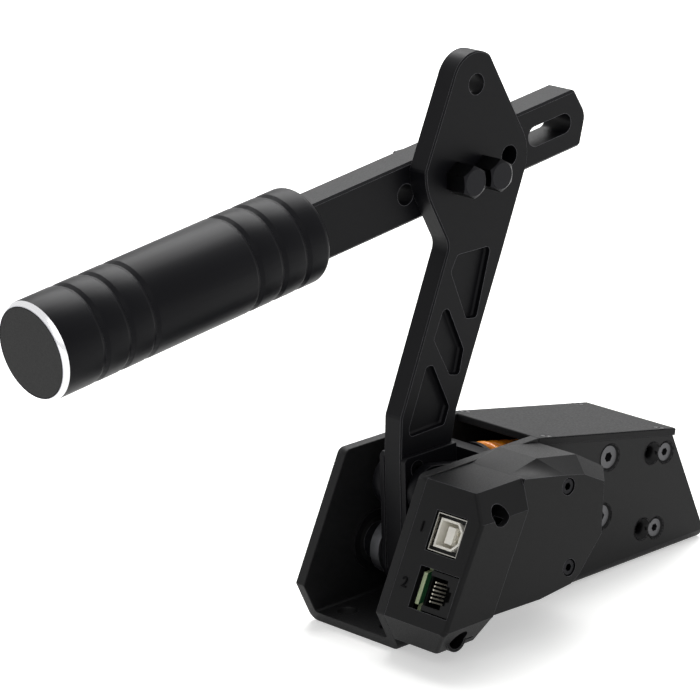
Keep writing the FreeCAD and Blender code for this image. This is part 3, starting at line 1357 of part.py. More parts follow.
def data_outline(inset):
    """The socket's white insert, squared with its two outer corners cut off."""
    out, up = f"(data_wide / 2 - {inset})", f"(data_tall / 2 - {inset})"
    cut = f"(data_chamfer - {inset} * 0.6)"
    return [(f"-{out}", f"-{up} + {cut}"), (f"-{out} + {cut}", f"-{up}"), (out, f"-{up}"), (out, up),
            (f"-{out} + {cut}", up), (f"-{out}", f"{up} - {cut}")]


def put_socket(thing, height, middle):
    x, z = on_panel(height)
    return place(thing, x, middle, z, turn="front_lean")


def in_socket(height, depth, y, up):
    """A place in a socket, at a depth behind the panel and a way up along it from a height."""
    x, z = on_panel(height, depth)
    return f"{x} + ({up}) * sin(front_lean)", y, f"{z} + ({up}) * cos(front_lean)"


def make_data_socket():
    shell = socket_body("socket_can", rectangle("0", "0", "data_wide", "data_tall"), "data_depth")
    bore = rectangle("0", "0", "(data_wide - 2 * data_wall)", "(data_tall - 2 * data_wall)")
    pocket(shell, outline(shell, "YZ_Plane", bore, "-tool_overrun"), back=True)
    keep("data_socket_shell", put_socket(shell, "data_height", DATA_MIDDLE))
    insert_face = "socket_recess + data_insert_recess"
    insert = socket_body("socket_insert", data_outline("data_wall"), "data_depth - 1.2 * data_insert_recess",
                         insert_face)
    mouth = outline(insert, "YZ_Plane", rectangle("0", "0", "data_mouth_wide", "data_mouth_tall"), insert_face)
    pocket(insert, mouth, "data_mouth_depth", back=True)
    tongue_recess = f"{insert_face} + data_mouth_depth - data_tongue_length"
    tongue = outline(insert, "YZ_Plane", rectangle("0", "0", "data_tongue_wide", "data_tongue_tall"),
                     tongue_recess)
    pad(insert, tongue, "data_tongue_length + data_insert_recess")
    keep("data_socket_insert", put_socket(insert, "data_height", DATA_MIDDLE))
    contact = box("socket_contact", "data_contact_length", "data_contact_thickness", "data_contact_width")
    sides = ("-data_tongue_wide / 2 - data_contact_thickness", "data_tongue_wide / 2")
    spots = [(f"{DATA_MIDDLE} + {y}", f"({up} * data_contact_pitch - data_contact_width / 2)")
             for y in sides for up in (-0.5, 0.5)]
    keep("data_socket_contacts", copies("data_socket_contacts", contact, spots, lambda thing, y, up: place(
        thing, *in_socket("data_height", "socket_recess + 3 * data_insert_recess", y, up), turn="front_lean")))


def make_jack():
    """The modular jack with its stepped mouth and six spring wires."""
    jack = socket_body("jack_block", rectangle("0", "0", "jack_wide", "jack_tall"), "jack_depth")
    key_middle = "(jack_mouth_middle - jack_mouth_wide / 2 - jack_key_wide / 2 + jack_step_overlap)"
    latch_middle = f"({key_middle} - jack_key_wide / 2 - jack_latch_wide / 2 + jack_step_overlap)"
    for wide, tall, middle in (("jack_mouth_wide", "jack_mouth_tall", "jack_mouth_middle"),
                               ("jack_key_wide", "jack_key_tall", key_middle),
                               ("jack_latch_wide", "jack_latch_tall", latch_middle)):
        page = outline(jack, "YZ_Plane", rectangle(middle, "0", wide, tall), "socket_recess")
        pocket(jack, page, "jack_mouth_depth", back=True)
    lip = rectangle("jack_wide / 2", "0", "2 * (jack_wide / 2 - jack_mouth_middle - jack_mouth_wide / 2) + 0.2",
                    "board_tab + 2 * socket_gap")
    pocket(jack, outline(jack, "YZ_Plane", lip, "socket_recess"), "jack_setback", back=True)
    keep("modular_jack", put_socket(jack, "jack_height", JACK_MIDDLE))
    wire = box("jack_wire", "jack_wire_length", "jack_wire_height", "contact_width")
    y = f"{JACK_MIDDLE} + jack_mouth_middle + jack_mouth_wide / 2 - 5 * jack_wire_height"
    count = int(num("jack_wire_count"))
    spots = [(y, f"({i} - (jack_wire_count - 1) / 2) * jack_wire_pitch - contact_width / 2")
             for i in range(count)]
    keep("jack_contacts", copies("jack_contacts", wire, spots, lambda thing, y, up: place(
        thing, *in_socket("jack_height", "socket_recess + jack_mouth_depth - jack_wire_length - 2 * tap_spare",
                          y, up), turn="front_lean")))


def main():
    make_channel()
    make_cover()
    for word, (side, lay) in zip(("near", "far"), SIDES):
        make_bearing(word, side, lay)
    make_shaft()
    make_shaft_ends()
    make_arm()
    make_cheeks()
    make_bar()
    make_clamp()
    make_grip()
    make_yoke()
    make_rod_line()
    make_spring()
    make_bracket("middle", "middle_station", "middle_depth", "middle_upper", "middle_lower", "middle_edge",
                 "middle_screw_thread", "middle_screw_head", "bush_diameter")
    make_bracket("rear", "rear_station", "rear_depth", "rear_upper", "rear_lower", "rear_edge",
                 "rear_screw_thread", "rear_screw_head", "damper_bore")
    bush = tube("bush", "bush_diameter / 2", "rod_diameter / 2 + rod_play", "middle_depth")
    keep("guide_bush", on_rod(bush, MIDDLE_FRONT, turn="90"))
    make_housing()
    make_housing_screws()
    make_board()
    make_data_socket()
    make_jack()
    doc.recompute()
    for thing in doc.Objects:
        if "Invalid" in thing.State or "Error" in thing.State:
            raise RuntimeError(f"{thing.Label} is {thing.State}")
    for node, thing in parts.items():
        if thing.Shape.isNull() or not thing.Shape.isValid() or not thing.Shape.Solids:
            raise RuntimeError(f"{node} has no valid solid")
    os.makedirs("parts", exist_ok=True)
    for node, thing in parts.items():
        thing.Shape.exportStep(f"parts/{node}.step")
        print(f"{node}: {len(thing.Shape.Solids)} solids, {thing.Shape.Volume:.0f} mm3")
    print(len(parts), "nodes")


main()
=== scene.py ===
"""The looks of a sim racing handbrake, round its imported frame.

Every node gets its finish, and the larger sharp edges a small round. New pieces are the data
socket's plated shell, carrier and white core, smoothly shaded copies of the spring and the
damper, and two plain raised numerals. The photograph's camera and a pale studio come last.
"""

import math

import bmesh
import bpy
from mathutils import Matrix, Vector


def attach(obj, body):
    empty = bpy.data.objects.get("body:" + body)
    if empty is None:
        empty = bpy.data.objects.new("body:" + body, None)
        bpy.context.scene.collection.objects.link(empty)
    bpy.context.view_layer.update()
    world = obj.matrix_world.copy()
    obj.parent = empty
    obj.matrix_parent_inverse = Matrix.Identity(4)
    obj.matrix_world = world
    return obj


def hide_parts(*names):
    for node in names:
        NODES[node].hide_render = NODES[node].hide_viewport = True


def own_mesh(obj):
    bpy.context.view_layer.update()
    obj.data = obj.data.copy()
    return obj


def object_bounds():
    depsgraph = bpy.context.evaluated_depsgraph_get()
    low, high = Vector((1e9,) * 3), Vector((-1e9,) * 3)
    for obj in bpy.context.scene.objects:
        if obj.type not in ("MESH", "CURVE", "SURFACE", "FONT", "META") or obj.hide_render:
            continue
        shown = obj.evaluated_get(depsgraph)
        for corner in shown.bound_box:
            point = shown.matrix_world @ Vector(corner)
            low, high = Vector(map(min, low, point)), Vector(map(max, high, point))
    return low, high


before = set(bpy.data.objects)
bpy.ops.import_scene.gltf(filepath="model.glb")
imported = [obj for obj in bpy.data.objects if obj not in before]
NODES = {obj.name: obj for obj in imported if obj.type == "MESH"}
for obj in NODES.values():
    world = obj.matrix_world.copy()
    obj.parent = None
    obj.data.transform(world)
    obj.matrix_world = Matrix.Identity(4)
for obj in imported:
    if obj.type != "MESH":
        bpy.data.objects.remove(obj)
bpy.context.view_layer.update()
MM = 0.001

# Places on the real part, here and below, are in millimetres from the middle of its base holes.
# The bar's middle line: a point of it, its lean, and the way along it to the front of the grip
BAR_POINT = Vector((-14.9, 10.0, 145.15))
BAR_TILT = math.radians(7.35)
GRIP_WAY = Vector((-math.cos(BAR_TILT), 0.0, -math.sin(BAR_TILT)))

# How far the grip's front lies from that point, and how long its bright chamfer is
GRIP_END = 177.75
GRIP_CHAMFER = 1.8

# The front panel: a point of its top edge, the way up along it and the way out of it, then its
# three ways together, of which the first runs across, and the turn that brings a piece to them
PANEL_TOP = Vector((-57.5, 0.0, 55.7))
PANEL_UP = Vector((0.4462, 0.0, 0.8949))
PANEL_OUT = Vector((-0.8949, 0.0, 0.4462))
PANEL_WAYS = (Vector((0.0, -1.0, 0.0)), PANEL_UP, PANEL_OUT)
PANEL_TURN = Matrix(PANEL_WAYS).transposed().to_4x4()

# The numerals on the panel: each one's height on the part, and then where they stand sideways,
# their size, half their thickness, the round of their edges, and their lift off the panel
NUMERALS = {"1": 42.0, "2": 25.3}
NUMERAL_SIDE = -25.2
NUMERAL_SIZE = 5.0
NUMERAL_HALF_THICK = 0.12
NUMERAL_ROUND = 0.05
NUMERAL_LIFT = 0.1

# The data socket. IN is measured from the shell's outside, SUNK from its front, and OFF from the
# back of its inside, which lies BACK_OFF before the back of the CAD shell. The carrier's well is
# CORE_BITE narrower than the core on each side, so that the two hold together
SHELL_WALL = 0.4
BACK_OFF = 0.5
CARRIER_IN = 0.35
CARRIER_SUNK = 1.8
CARRIER_WALL = 0.5
CORE_IN = ((1.05, 1.25), (1.5, 1.45))
CORE_SUNK = 0.9
CORE_OFF = 0.5
CORE_WALL = 0.8
CORE_DEPTH = 8.0
CORE_CORNER = 2.6
CORE_BITE = 0.1
TONGUE_HALF = (1.6, 2.8)
TONGUE_SUNK = 1.3
TONGUE_OFF = 0.6
SOCKET_ROUND = 0.12

# Nodes that get small rounds: the round's width in millimetres, and the angle in degrees from
# which an edge counts as sharp, which is less on the grip with its shallow grooves
SOFTENED = (("channel_body", 0.35, 30), ("top_cover", 0.2, 30), ("near_hub_cheek", 0.2, 30),
            ("far_hub_cheek", 0.2, 30), ("yoke", 0.2, 30), ("grip_sleeve", 0.15, 15))

# Corners of a CAD mesh nearer than this, in metres, are one
SAME_PLACE = 1e-6

# Nearly all of a grain's height lies between these two
GRAIN_ENDS = (0.35, 0.65)

# The cosine between a rounded and a true normal below which a surface counts as an edge, where the
# painted edge highlight starts
EDGE_START = 0.995

# How the photograph was taken
CAMERA_PLACE = Vector((-863.1, -854.2, 464.3))
CAMERA_FORWARD = Vector((0.6488, 0.6992, -0.3004))
CAMERA_ROLL = math.radians(-1.44)
LENS = 197.0
SENSOR = 36.0

# The studio: where its white backdrop and its grey side stand, seen from the part, and the
# cosines between which each fades in
BACKDROP_WAY = Vector((0.60, 0.54, 0.45)).normalized()
BACKDROP_FADE = (0.35, 0.8)
SIDE_WAY = Vector((-0.62, 0.74, 0.12)).normalized()
SIDE_FADE = (0.4, 0.9)

# The lamps: each one's name, way from the part, distance and side in metres, and power in watts
LAMPS = (("softbox", Vector((0.42, 0.36, 0.83)).normalized(), 1.6, 1.2, 32),
         ("front_fill", Vector((-0.5, -0.6, 0.62)).normalized(), 1.8, 1.4, 6))

# The floor, in metres: half its side, and the ring in which its glow rises from part to full
FLOOR_HALF = 3.0
GLOW_RING = (0.4, 1.2)
GLOW = (0.45, 1.0)


def srgb(hex_colour):
    """A colour written as sRGB hex, turned to the linear values that shading uses."""
    parts = [int(hex_colour[i:i + 2], 16) / 255 for i in (1, 3, 5)]
    linear = [c / 12.92 if c <= 0.04045 else ((c + 0.055) / 1.055) ** 2.4 for c in parts]
    return (*linear, 1.0)


def add(tree, kind, inputs=None, **settings):
    """Add a node with its settings by name, and each input a value or another node's output."""
    made = tree.nodes.new(kind)
    for name, value in settings.items():
        setattr(made, name, value)
    for key, value in (inputs or {}).items():
        if isinstance(value, bpy.types.NodeSocket):
            tree.links.new(value, made.inputs[key])
        else:
            made.inputs[key].default_value = value
    return made


def per_metre(size_mm):
    """The scale of a pattern whose feature is that many millimetres wide."""
    return 1.0 / (size_mm * MM)


def material(name, colour, roughness, metallic=0.0, **sockets):
    """A new material, its shader set; returns it, the tree, the shader and object coordinates."""
    made = bpy.data.materials.new(name)
    made.use_nodes = True
    tree = made.node_tree
    shader = tree.nodes["Principled BSDF"]
    shader.inputs["Base Color"].default_value = srgb(colour)
    shader.inputs["Roughness"].default_value = roughness
    shader.inputs["Metallic"].default_value = metallic
    for key, value in sockets.items():
        shader.inputs[key.replace("_", " ")].default_value = value
    where = add(tree, "ShaderNodeTexCoord").outputs["Object"]
    return made, tree, shader, where


def grain(tree, shader, where, size_mm, depth_mm, strength, kind="ShaderNodeTexNoise"):
    """A fine relief of that grain and depth on a shader; returns its height."""
    height = add(tree, kind, {"Vector": where, "Scale": per_metre(size_mm)}).outputs[0]
    bump = add(tree, "ShaderNodeBump",
               {"Height": height, "Distance": depth_mm * MM, "Strength": strength})
    tree.links.new(bump.outputs[0], shader.inputs["Normal"])
    return height


def vary(tree, shader, socket, height, low, high, ends=GRAIN_ENDS):
    """Drive a socket from low to high as a height goes from one of its ends to the other."""
    span = add(tree, "ShaderNodeMapRange", {"Value": height, "From Min": ends[0],
                                            "From Max": ends[1], "To Min": low, "To Max": high})
    tree.links.new(span.outputs[0], shader.inputs[socket])


def colour_by(tree, shader, share, first, second):
    """Colour a shader from the first colour to the second, by a share from nought to one."""
    mix = add(tree, "ShaderNodeMix", {0: share, 6: first, 7: second}, data_type="RGBA")
    tree.links.new(mix.outputs[2], shader.inputs["Base Color"])


def tint(tree, shader, height, dark, light):
    """Colour a shader from a dark hex colour to a light one, by a grain's height."""
    share = add(tree, "ShaderNodeMapRange",
                {"Value": height, "From Min": GRAIN_ENDS[0], "From Max": GRAIN_ENDS[1]})
    colour_by(tree, shader, share.outputs[0], srgb(dark), srgb(light))


def painted_edge_highlight(tree, shader, width_mm, pale, full=0.9):
    """A painted highlight: a thin paler line along sharp edges, in place of the light their rounds
    catch.

    It grows as the rounded normal turns off the true one, until their cosine is down to full.
    """
    rounded = add(tree, "ShaderNodeBevel", {"Radius": width_mm * MM}, samples=8)
    true = add(tree, "ShaderNodeNewGeometry").outputs["Normal"]
    turned = add(tree, "ShaderNodeVectorMath", {0: rounded.outputs[0], 1: true},
                 operation="DOT_PRODUCT")
    share = add(tree, "ShaderNodeMapRange",
                {"Value": turned.outputs["Value"], "From Min": EDGE_START, "From Max": full})
    socket = shader.inputs["Base Color"]
    under = socket.links[0].from_socket if socket.is_linked else tuple(socket.default_value)
    colour_by(tree, shader, share.outputs[0], under, srgb(pale))


def powder_coat(name, dark, light, gloss):
    """Fine-textured powder coat: a dull black skin of small beads that scatter the light."""
    made, tree, shader, where = material(name, dark, 0.55, Specular_IOR_Level=gloss)
    height = grain(tree, shader, where, size_mm=0.75, depth_mm=0.05, strength=0.5)
    tint(tree, shader, height, dark, light)
    vary(tree, shader, "Roughness", height, 0.5, 0.62)
    # A painted highlight: a thin grey line along the coat's sharp edges
    painted_edge_highlight(tree, shader, 0.3, "#444446")
    return made


def anodised():
    """Blasted and black anodised aluminium: smooth and satin, with a painted cool grey highlight
    on edges.
    """
    made, tree, shader, where = material("satin anodised aluminium", "#0a0a0d", 0.42,
                                         Specular_IOR_Level=0.1)
    height = grain(tree, shader, where, size_mm=0.5, depth_mm=0.012, strength=0.5)
    vary(tree, shader, "Roughness", height, 0.39, 0.46)
    # A painted highlight: a cool grey line along the sharp edges
    painted_edge_highlight(tree, shader, 0.3, "#68686c")
    return made


def grip_anodised():
    """The turned grip: satin black, its front chamfer cut back to bright metal after dyeing."""
    dye, bare = "#06060a", "#e2e2e4"
    made, tree, shader, where = material("anodised turned grip", dye, 0.42,
                                         Specular_IOR_Level=0.1)
    grain(tree, shader, where, size_mm=0.5, depth_mm=0.01, strength=0.4)
    along = add(tree, "ShaderNodeVectorMath", {0: where, 1: GRIP_WAY}, operation="DOT_PRODUCT")
    chamfer_start = BAR_POINT.dot(GRIP_WAY) + GRIP_END - GRIP_CHAMFER
    cut = add(tree, "ShaderNodeMath", {0: along.outputs["Value"], 1: chamfer_start * MM},
              operation="GREATER_THAN").outputs[0]
    colour_by(tree, shader, cut, srgb(dye), srgb(bare))
    tree.links.new(cut, shader.inputs["Metallic"])
    vary(tree, shader, "Roughness", cut, 0.42, 0.2, ends=(0.0, 1.0))
    # A painted highlight: pale lines along the groove rims and the other sharp edges
    painted_edge_highlight(tree, shader, 0.3, "#b4b4bc", full=0.983)
    return made


def black_oxide():
    """Black oxide on steel screws: dark metal, slightly oily."""
    made, tree, shader, where = material("black oxide on steel", "#1e1e20", 0.38, 1.0)
    height = grain(tree, shader, where, size_mm=0.6, depth_mm=0.01, strength=0.4)
    vary(tree, shader, "Roughness", height, 0.33, 0.45)
    return made


def satin_screw():
    """Phosphated socket screws: a satin grey, lighter than the coat they are sunk in."""
    made, tree, shader, where = material("phosphated screw steel", "#525254", 0.42, 1.0)
    height = grain(tree, shader, where, size_mm=0.45, depth_mm=0.02, strength=0.5)
    vary(tree, shader, "Roughness", height, 0.36, 0.5)
    return made


def blacked_ring():
    """Blackened bearing steel: dark, with a soft shine."""
    made, tree, shader, where = material("blackened bearing steel", "#1c1c1e", 0.4, 0.6)
    grain(tree, shader, where, size_mm=0.8, depth_mm=0.006, strength=0.4)
    return made


def bright_steel():
    """Ground bearing steel: clean and bright."""
    made, tree, shader, where = material("ground bearing steel", "#b9b9bc", 0.24, 1.0)
    grain(tree, shader, where, size_mm=0.8, depth_mm=0.004, strength=0.4)
    return made


def turned_steel():
    """Turned and zinc plated steel: greyer than the bearings, and faintly uneven from turning."""
    made, tree, shader, where = material("turned steel", "#8f9094", 0.34, 1.0)
    height = grain(tree, shader, where, size_mm=0.5, depth_mm=0.008, strength=0.5)
    vary(tree, shader, "Roughness", height, 0.28, 0.42)
    return made


def sintered_bronze():
    """Sintered bronze: a dull brown gold full of fine pores."""
    made, tree, shader, where = material("sintered bronze", "#9a7340", 0.5, 1.0)
    grain(tree, shader, where, size_mm=0.35, depth_mm=0.02, strength=0.6,
          kind="ShaderNodeTexVoronoi")
    return made


def spring_enamel():
    """Orange enamel on spring steel: a glossy coat, a little uneven."""
    made, tree, shader, where = material("orange enamel on spring steel", "#f08a12", 0.28)
    height = grain(tree, shader, where, size_mm=1.6, depth_mm=0.02, strength=0.5)
    tint(tree, shader, height, "#e87c0c", "#f69a20")
    return made


def cast_rubber():
    """Cast polyurethane: black, dull, with a soft bloom."""
    made, tree, shader, where = material("cast polyurethane", "#161616", 0.62)
    grain(tree, shader, where, size_mm=0.9, depth_mm=0.03, strength=0.4)
    return made


def moulded_housing():
    """Spark-textured ABS: matt black with a fine even grain."""
    made, tree, shader, where = material("spark-textured ABS", "#0f0f10", 0.46,
                                         Specular_IOR_Level=0.13)
    height = grain(tree, shader, where, size_mm=0.45, depth_mm=0.02, strength=0.4)
    vary(tree, shader, "Roughness", height, 0.42, 0.52)
    # A painted highlight: a thin pale line along the moulding's sharp edges
    painted_edge_highlight(tree, shader, 0.25, "#5c5c60")
    return made


def even_surface(name, colour, roughness, grain_mm=1.2, **sockets):
    """A plain moulded or painted surface: one colour, its shine only faintly uneven."""
    made, tree, shader, where = material(name, colour, roughness, **sockets)
    height = grain(tree, shader, where, grain_mm, depth_mm=0.01, strength=0.3)
    vary(tree, shader, "Roughness", height, roughness - 0.04, roughness + 0.05)
    return made


def board_laminate():
    """Glass laminate under solder mask: green on its two faces, pale laminate at the cut edges."""
    mask, edge = "#1c4a2b", "#9eab84"
    made, tree, shader, where = material("solder mask on laminate", mask, 0.3)
    facing = add(tree, "ShaderNodeSeparateXYZ",
                 {0: add(tree, "ShaderNodeTexCoord").outputs["Normal"]})
    across = add(tree, "ShaderNodeMath", {0: facing.outputs["Y"]}, operation="ABSOLUTE")
    on_face = add(tree, "ShaderNodeMath", {0: across.outputs[0], 1: 0.5},
                  operation="GREATER_THAN")
    colour_by(tree, shader, on_face.outputs[0], srgb(edge), srgb(mask))
    grain(tree, shader, where, size_mm=0.6, depth_mm=0.01, strength=0.3)
    return made


def nickel_plate():
    """Nickel plated sheet: bright, slightly warm, with faint rolling unevenness."""
    made, tree, shader, where = material("nickel plated sheet", "#a5a39d", 0.22, 1.0)
    height = grain(tree, shader, where, size_mm=1.2, depth_mm=0.01, strength=0.4)
    vary(tree, shader, "Roughness", height, 0.18, 0.3)
    return made


def contact_painted_bright():
    """Flash-gilt contacts, painted near white and half metal: painted light that keeps them bright
    in the shaded socket.
    """
    made, tree, shader, where = material("flash-gilt contact painted bright", "#e6e2d2", 0.3, 0.35)
    grain(tree, shader, where, size_mm=0.4, depth_mm=0.004, strength=0.3)
    return made


FINISHES = {
    "powder_coated_steel": powder_coat("powder coat on steel", "#101011", "#171718", 0.17),
    # The cover's coat is the channel's coat, painted a little lighter for the light its top
    # reflects
    "coated_cover": powder_coat("powder coat painted lighter on cover", "#131314", "#1c1c1d", 0.12),
    "black_screws": black_oxide(),
    "bearing_steel": bright_steel(),
    "bearing_shield": even_surface("blacked sheet steel", "#151516", 0.45),
    "anodised_aluminium": anodised(),
    "anodised_grip": grip_anodised(),
    "grip_disc": even_surface("matt end disc", "#131314", 0.6, 0.5, Specular_IOR_Level=0.24),
    "plain_steel": turned_steel(),
    "bronze": sintered_bronze(),
    "spring_paint": spring_enamel(),
    "damper_rubber": cast_rubber(),
    "housing_plastic": moulded_housing(),
    "holder_plastic": even_surface("moulded magnet holder", "#1a1a1a", 0.5),
    "sunk_screws": satin_screw(),
    "bearing_ring": blacked_ring(),
    "marks": even_surface("raised numeral", "#050506", 0.4, 0.5, Specular_IOR_Level=0.05),
    "board_laminate": board_laminate(),
    "chip_plastic": even_surface("moulded chip package", "#141414", 0.45),
    "socket_metal": nickel_plate(),
    "socket_white": even_surface("white moulded nylon", "#f6f3ea", 0.35),
    "contact_gold": contact_painted_bright(),
    "jack_plastic": even_surface("black moulded nylon", "#0c0c0d", 0.4, 0.8,
                                 Specular_IOR_Level=0.15),
}

# Nodes whose finish differs from the rest of their slot
OWN_FINISH = {"middle_bracket_screws": "sunk_screws", "rear_bracket_screws": "sunk_screws",
              "far_spacer": "anodised_aluminium", "near_bearing_outer": "bearing_ring",
              "far_bearing_outer": "bearing_ring", "near_bearing_inner": "bearing_ring",
              "far_bearing_inner": "bearing_ring", "spring_seat": "black_screws"}


def dress_nodes():
    """Give every node the finish of its own slot, or its own."""
    for name, node in NODES.items():
        for place in node.material_slots:
            slot = place.material.name.split(".")[0]
            place.material = FINISHES[OWN_FINISH.get(name, slot)]


def soften(name, width_mm, sharp_from):
    """Round a node's sharp edges a little, as every real edge is."""
    node = NODES[name]
    node.modifiers.new("weld", "WELD").merge_threshold = SAME_PLACE
    flat = node.modifiers.new("flat", "DECIMATE")
    flat.decimate_type = "DISSOLVE"
    flat.angle_limit = math.radians(0.5)
    edge = node.modifiers.new("edge", "BEVEL")
    edge.width = width_mm * MM
    edge.segments = 2
    edge.limit_method = "ANGLE"
    edge.angle_limit = math.radians(sharp_from)
    edge.use_clamp_overlap = False
    edge.harden_normals = True


def put(name, data):
    """A new object in the scene."""
    made = bpy.data.objects.new(name, data)
    bpy.context.scene.collection.objects.link(made)
    return made


def reach(name, way):
    """How far a node reaches along a way, in millimetres: its lowest and highest."""
    along = [way.dot(vertex.co) / MM for vertex in NODES[name].data.vertices]
    return min(along), max(along)


def cup(across, up, out, wall=0.0, depth=0.0, well=None, corner=0.0):
    """A block between ends on the panel's three ways, with a well of that depth in its front.

    The well leaves an even wall, or has ends of its own. The two far corners may be cut off.
    """
    mesh = bmesh.new()
    block = bmesh.ops.create_cube(mesh, size=1.0)["verts"]
    ends = (across, up, out)
    bmesh.ops.scale(mesh, verts=block, vec=Vector([high - low for low, high in ends]))
    bmesh.ops.translate(mesh, verts=block, vec=Vector([(low + high) / 2 for low, high in ends]))
    middle = (sum(across) / 2, sum(up) / 2)
    if corner:
        upright = [e for e in mesh.edges if all(v.co.x > middle[0] for v in e.verts)
                   and e.verts[0].co.z != e.verts[1].co.z]
        bmesh.ops.bevel(mesh, geom=upright, offset=corner, affect="EDGES", segments=1,
                        profile=0.5, material=-1)
    if depth:
        front = max(mesh.faces, key=lambda face: face.calc_center_median().z)
        bmesh.ops.inset_region(mesh, faces=[front], thickness=wall, use_even_offset=True)
        for vertex in front.verts if well else ():
            vertex.co.x = well[0][vertex.co.x > middle[0]]
            vertex.co.y = well[1][vertex.co.y > middle[1]]
        sunk = bmesh.ops.extrude_face_region(mesh, geom=[front])["geom"]
        bmesh.ops.translate(mesh, verts=[v for v in sunk if isinstance(v, bmesh.types.BMVert)],
                            vec=(0, 0, -depth))
        if front.is_valid:
            bmesh.ops.delete(mesh, geom=[front], context="FACES_ONLY")
    bmesh.ops.recalc_face_normals(mesh, faces=mesh.faces)
    return mesh


def panel_piece(name, blocks, slot):
    """Join blocks on the panel's ways to one piece of the base, with small rounds on its edges."""
    data = bpy.data.meshes.new(name)
    whole = bmesh.new()
    for block in blocks:
        block.to_mesh(data)
        block.free()
        whole.from_mesh(data)
    bmesh.ops.transform(whole, verts=whole.verts, matrix=Matrix.Scale(MM, 4) @ PANEL_TURN)
    whole.to_mesh(data)
    whole.free()
    data.materials.append(FINISHES[slot])
    piece = put(name, data)
    edge = piece.modifiers.new("edge", "BEVEL")
    edge.width = SOCKET_ROUND * MM
    edge.segments = 2
    edge.limit_method = "ANGLE"
    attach(piece, "base")
    return piece


def data_socket():
    """The data socket: a thin plated shell, a gap darkened by a black carrier as painted shade,
    and a white core round a tongue.
    """
    across, up, out = (reach("data_socket_shell", way) for way in PANEL_WAYS)
    front, back = out[1], out[0] + BACK_OFF
    shell = panel_piece("data_shell", [cup(across, up, out, SHELL_WALL, front - back)],
                        "socket_metal")
    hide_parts("data_socket_shell")

    core = [(low + first, high - last)
            for (low, high), (first, last) in zip((across, up), CORE_IN)]
    sides = [(low + CARRIER_IN, high - CARRIER_IN) for low, high in (across, up)]
    well = [(low + CORE_BITE, high - CORE_BITE) for low, high in core]
    # The carrier is black so that the gap round the core reads dark: painted shade, on top of the
    # gap's real shade
    panel_piece("data_carrier_painted_shade", [cup(*sides, (back, front - CARRIER_SUNK), CARRIER_WALL,
                                     front - CARRIER_SUNK - back - CARRIER_WALL, well)],
                "jack_plastic")

    block = cup(*core, (back + CORE_OFF, front - CORE_SUNK), CORE_WALL, CORE_DEPTH,
                corner=CORE_CORNER)
    halves = [(sum(ends) / 2 - half, sum(ends) / 2 + half)
              for ends, half in zip((across, up), TONGUE_HALF)]
    tongue = cup(*halves, (back + TONGUE_OFF, front - TONGUE_SUNK))
    white = panel_piece("data_core", [block, tongue], "socket_white")
    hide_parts("data_socket_insert")


def squeezed(name, slot):
    """A merged, smoothly shaded copy of a soft node with its finish, on the base in the node's
    place.
    """
    data = NODES[name].data.copy()
    mesh = bmesh.new()
    mesh.from_mesh(data)
    bmesh.ops.remove_doubles(mesh, verts=mesh.verts, dist=SAME_PLACE)
    mesh.to_mesh(data)
    mesh.free()
    data.shade_smooth()
    data.set_sharp_from_angle(angle=math.radians(40))
    data.materials.clear()
    data.materials.append(FINISHES[slot])
    piece = put(f"soft_{name}", data)
    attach(piece, "base")
    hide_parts(name)
    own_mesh(piece)


def numeral(digit, height):
    """A small raised numeral on the front panel, level with its socket."""
    curve = bpy.data.curves.new("numeral_curve", "FONT")
    curve.body = digit
    curve.size = NUMERAL_SIZE * MM
    curve.extrude = NUMERAL_HALF_THICK * MM
    curve.bevel_depth = NUMERAL_ROUND * MM
    curve.align_x = "CENTER"
    curve.align_y = "CENTER"
    words = put("numeral_words", curve)
    data = bpy.data.meshes.new_from_object(words)
    bpy.data.objects.remove(words)
    data.name = f"numeral_{digit}"
    spot = PANEL_TOP + PANEL_UP * ((height - PANEL_TOP.z) / PANEL_UP.z)
    spot.y = NUMERAL_SIDE
    data.transform(Matrix.Translation((spot + PANEL_OUT * NUMERAL_LIFT) * MM) @ PANEL_TURN)
    data.materials.clear()
    data.materials.append(FINISHES["marks"])
    piece = put(f"numeral_{digit}", data)
    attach(piece, "base")


def make_camera():
    """The photograph's camera: its place, direction, roll and long lens."""
    forward = CAMERA_FORWARD.normalized()
    right = forward.cross(Vector((0, 0, 1))).normalized()
    up = right.cross(forward)
    turn_right = right * math.cos(CAMERA_ROLL) + up * math.sin(CAMERA_ROLL)
    turn_up = up * math.cos(CAMERA_ROLL) - right * math.sin(CAMERA_ROLL)
    data = bpy.data.cameras.new("camera")
    data.lens = LENS
    data.sensor_width = SENSOR
    data.clip_start = 0.1
    data.clip_end = 20
    camera = put("camera", data)
    rotation = Matrix((turn_right, turn_up, -forward)).transposed()
    camera.matrix_world = Matrix.Translation(CAMERA_PLACE * MM) @ rotation.to_4x4()
    bpy.context.scene.camera = camera


def seen_directly(tree):
    """One for a ray from the camera, a gloss or a glass, and nought for the rest of the light."""
    path = add(tree, "ShaderNodeLightPath")
    seen = add(tree, "ShaderNodeMath",
               {0: path.outputs["Is Camera Ray"], 1: path.outputs["Is Glossy Ray"]},
               operation="MAXIMUM")
    return add(tree, "ShaderNodeMath",
               {0: seen.outputs[0], 1: path.outputs["Is Transmission Ray"]},
               operation="MAXIMUM").outputs[0]


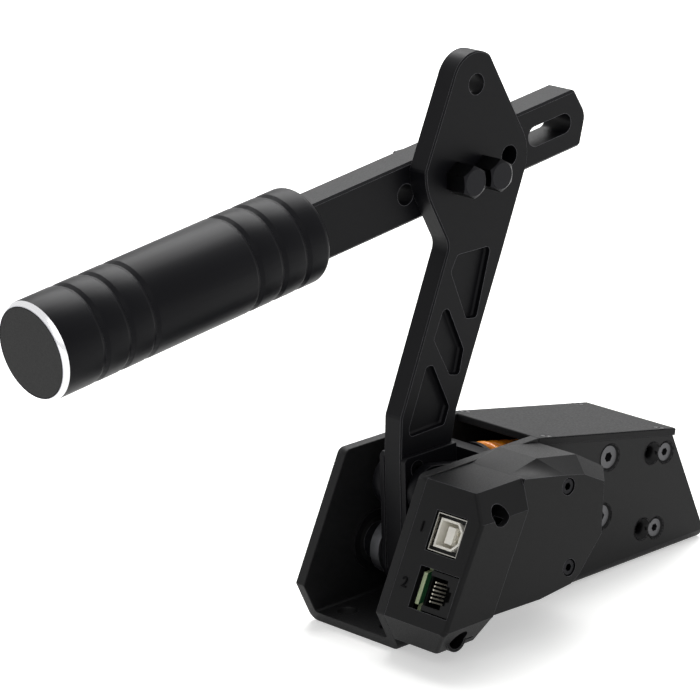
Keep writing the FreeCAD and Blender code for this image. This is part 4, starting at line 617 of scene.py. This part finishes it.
def make_floor():
    """A pale floor: white where the camera or a gloss sees it lit, and dark in the soft shadow."""
    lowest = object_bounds()[0].z
    mesh = bmesh.new()
    bmesh.ops.create_grid(mesh, x_segments=1, y_segments=1, size=FLOOR_HALF)
    data = bpy.data.meshes.new("floor")
    mesh.to_mesh(data)
    mesh.free()
    made, tree, shader, where = material("painted floor", "#e8e8e6", 0.8,
                                         Specular_IOR_Level=0.1)
    away = add(tree, "ShaderNodeVectorMath", {0: where}, operation="LENGTH")
    glow = add(tree, "ShaderNodeMapRange",
               {"Value": away.outputs["Value"], "From Min": GLOW_RING[0],
                "From Max": GLOW_RING[1], "To Min": GLOW[0], "To Max": GLOW[1]})
    strength = add(tree, "ShaderNodeMath", {0: seen_directly(tree), 1: glow.outputs[0]},
                   operation="MULTIPLY")
    shader.inputs["Emission Color"].default_value = (1, 1, 1, 1)
    tree.links.new(strength.outputs[0], shader.inputs["Emission Strength"])
    data.materials.append(made)
    floor = put("floor", data)
    floor.location.z = lowest


def soft_patch(tree, facing, way, fade):
    """How far a view lies within a soft round patch of the studio, from nought to one."""
    cosine = add(tree, "ShaderNodeVectorMath", {0: facing, 1: way}, operation="DOT_PRODUCT")
    return add(tree, "ShaderNodeMapRange",
               {"Value": cosine.outputs["Value"], "From Min": fade[0], "From Max": fade[1]},
               interpolation_type="SMOOTHSTEP").outputs[0]


def make_world():
    """White for camera, gloss and glass; a backdrop and a dim studio for the rest of the light."""
    world = bpy.data.worlds.new("studio")
    bpy.context.scene.world = world
    world.use_nodes = True
    tree = world.node_tree
    white = srgb("#ffffff")
    facing = add(tree, "ShaderNodeTexCoord").outputs["Generated"]
    backdrop = soft_patch(tree, facing, BACKDROP_WAY, BACKDROP_FADE)
    side = soft_patch(tree, facing, SIDE_WAY, SIDE_FADE)
    dim = add(tree, "ShaderNodeMix", {0: side, 6: srgb("#6c6d6e"), 7: srgb("#c4c4c4")},
              data_type="RGBA")
    studio = add(tree, "ShaderNodeMix", {0: backdrop, 6: dim.outputs[2], 7: white},
                 data_type="RGBA")
    shown = add(tree, "ShaderNodeMix", {0: seen_directly(tree), 6: studio.outputs[2], 7: white},
                data_type="RGBA")
    tree.links.new(shown.outputs[2], tree.nodes["Background"].inputs["Color"])


def soft_lamp(name, way, distance, side, watts):
    """A square lamp at a distance from the part, turned to it."""
    data = bpy.data.lights.new(name, "AREA")
    data.size = side
    data.energy = watts
    lamp = put(name, data)
    lamp.location = way * distance
    lamp.rotation_mode = "QUATERNION"
    lamp.rotation_quaternion = way.to_track_quat("Z", "Y")


dress_nodes()
for name, width_mm, sharp_from in SOFTENED:
    soften(name, width_mm, sharp_from)
data_socket()
squeezed("return_spring", "spring_paint")
squeezed("damper", "damper_rubber")
for digit, height in NUMERALS.items():
    numeral(digit, height)
make_camera()
make_floor()
make_world()
for lamp in LAMPS:
    soft_lamp(*lamp)
bpy.context.scene.view_settings.view_transform = "Standard"
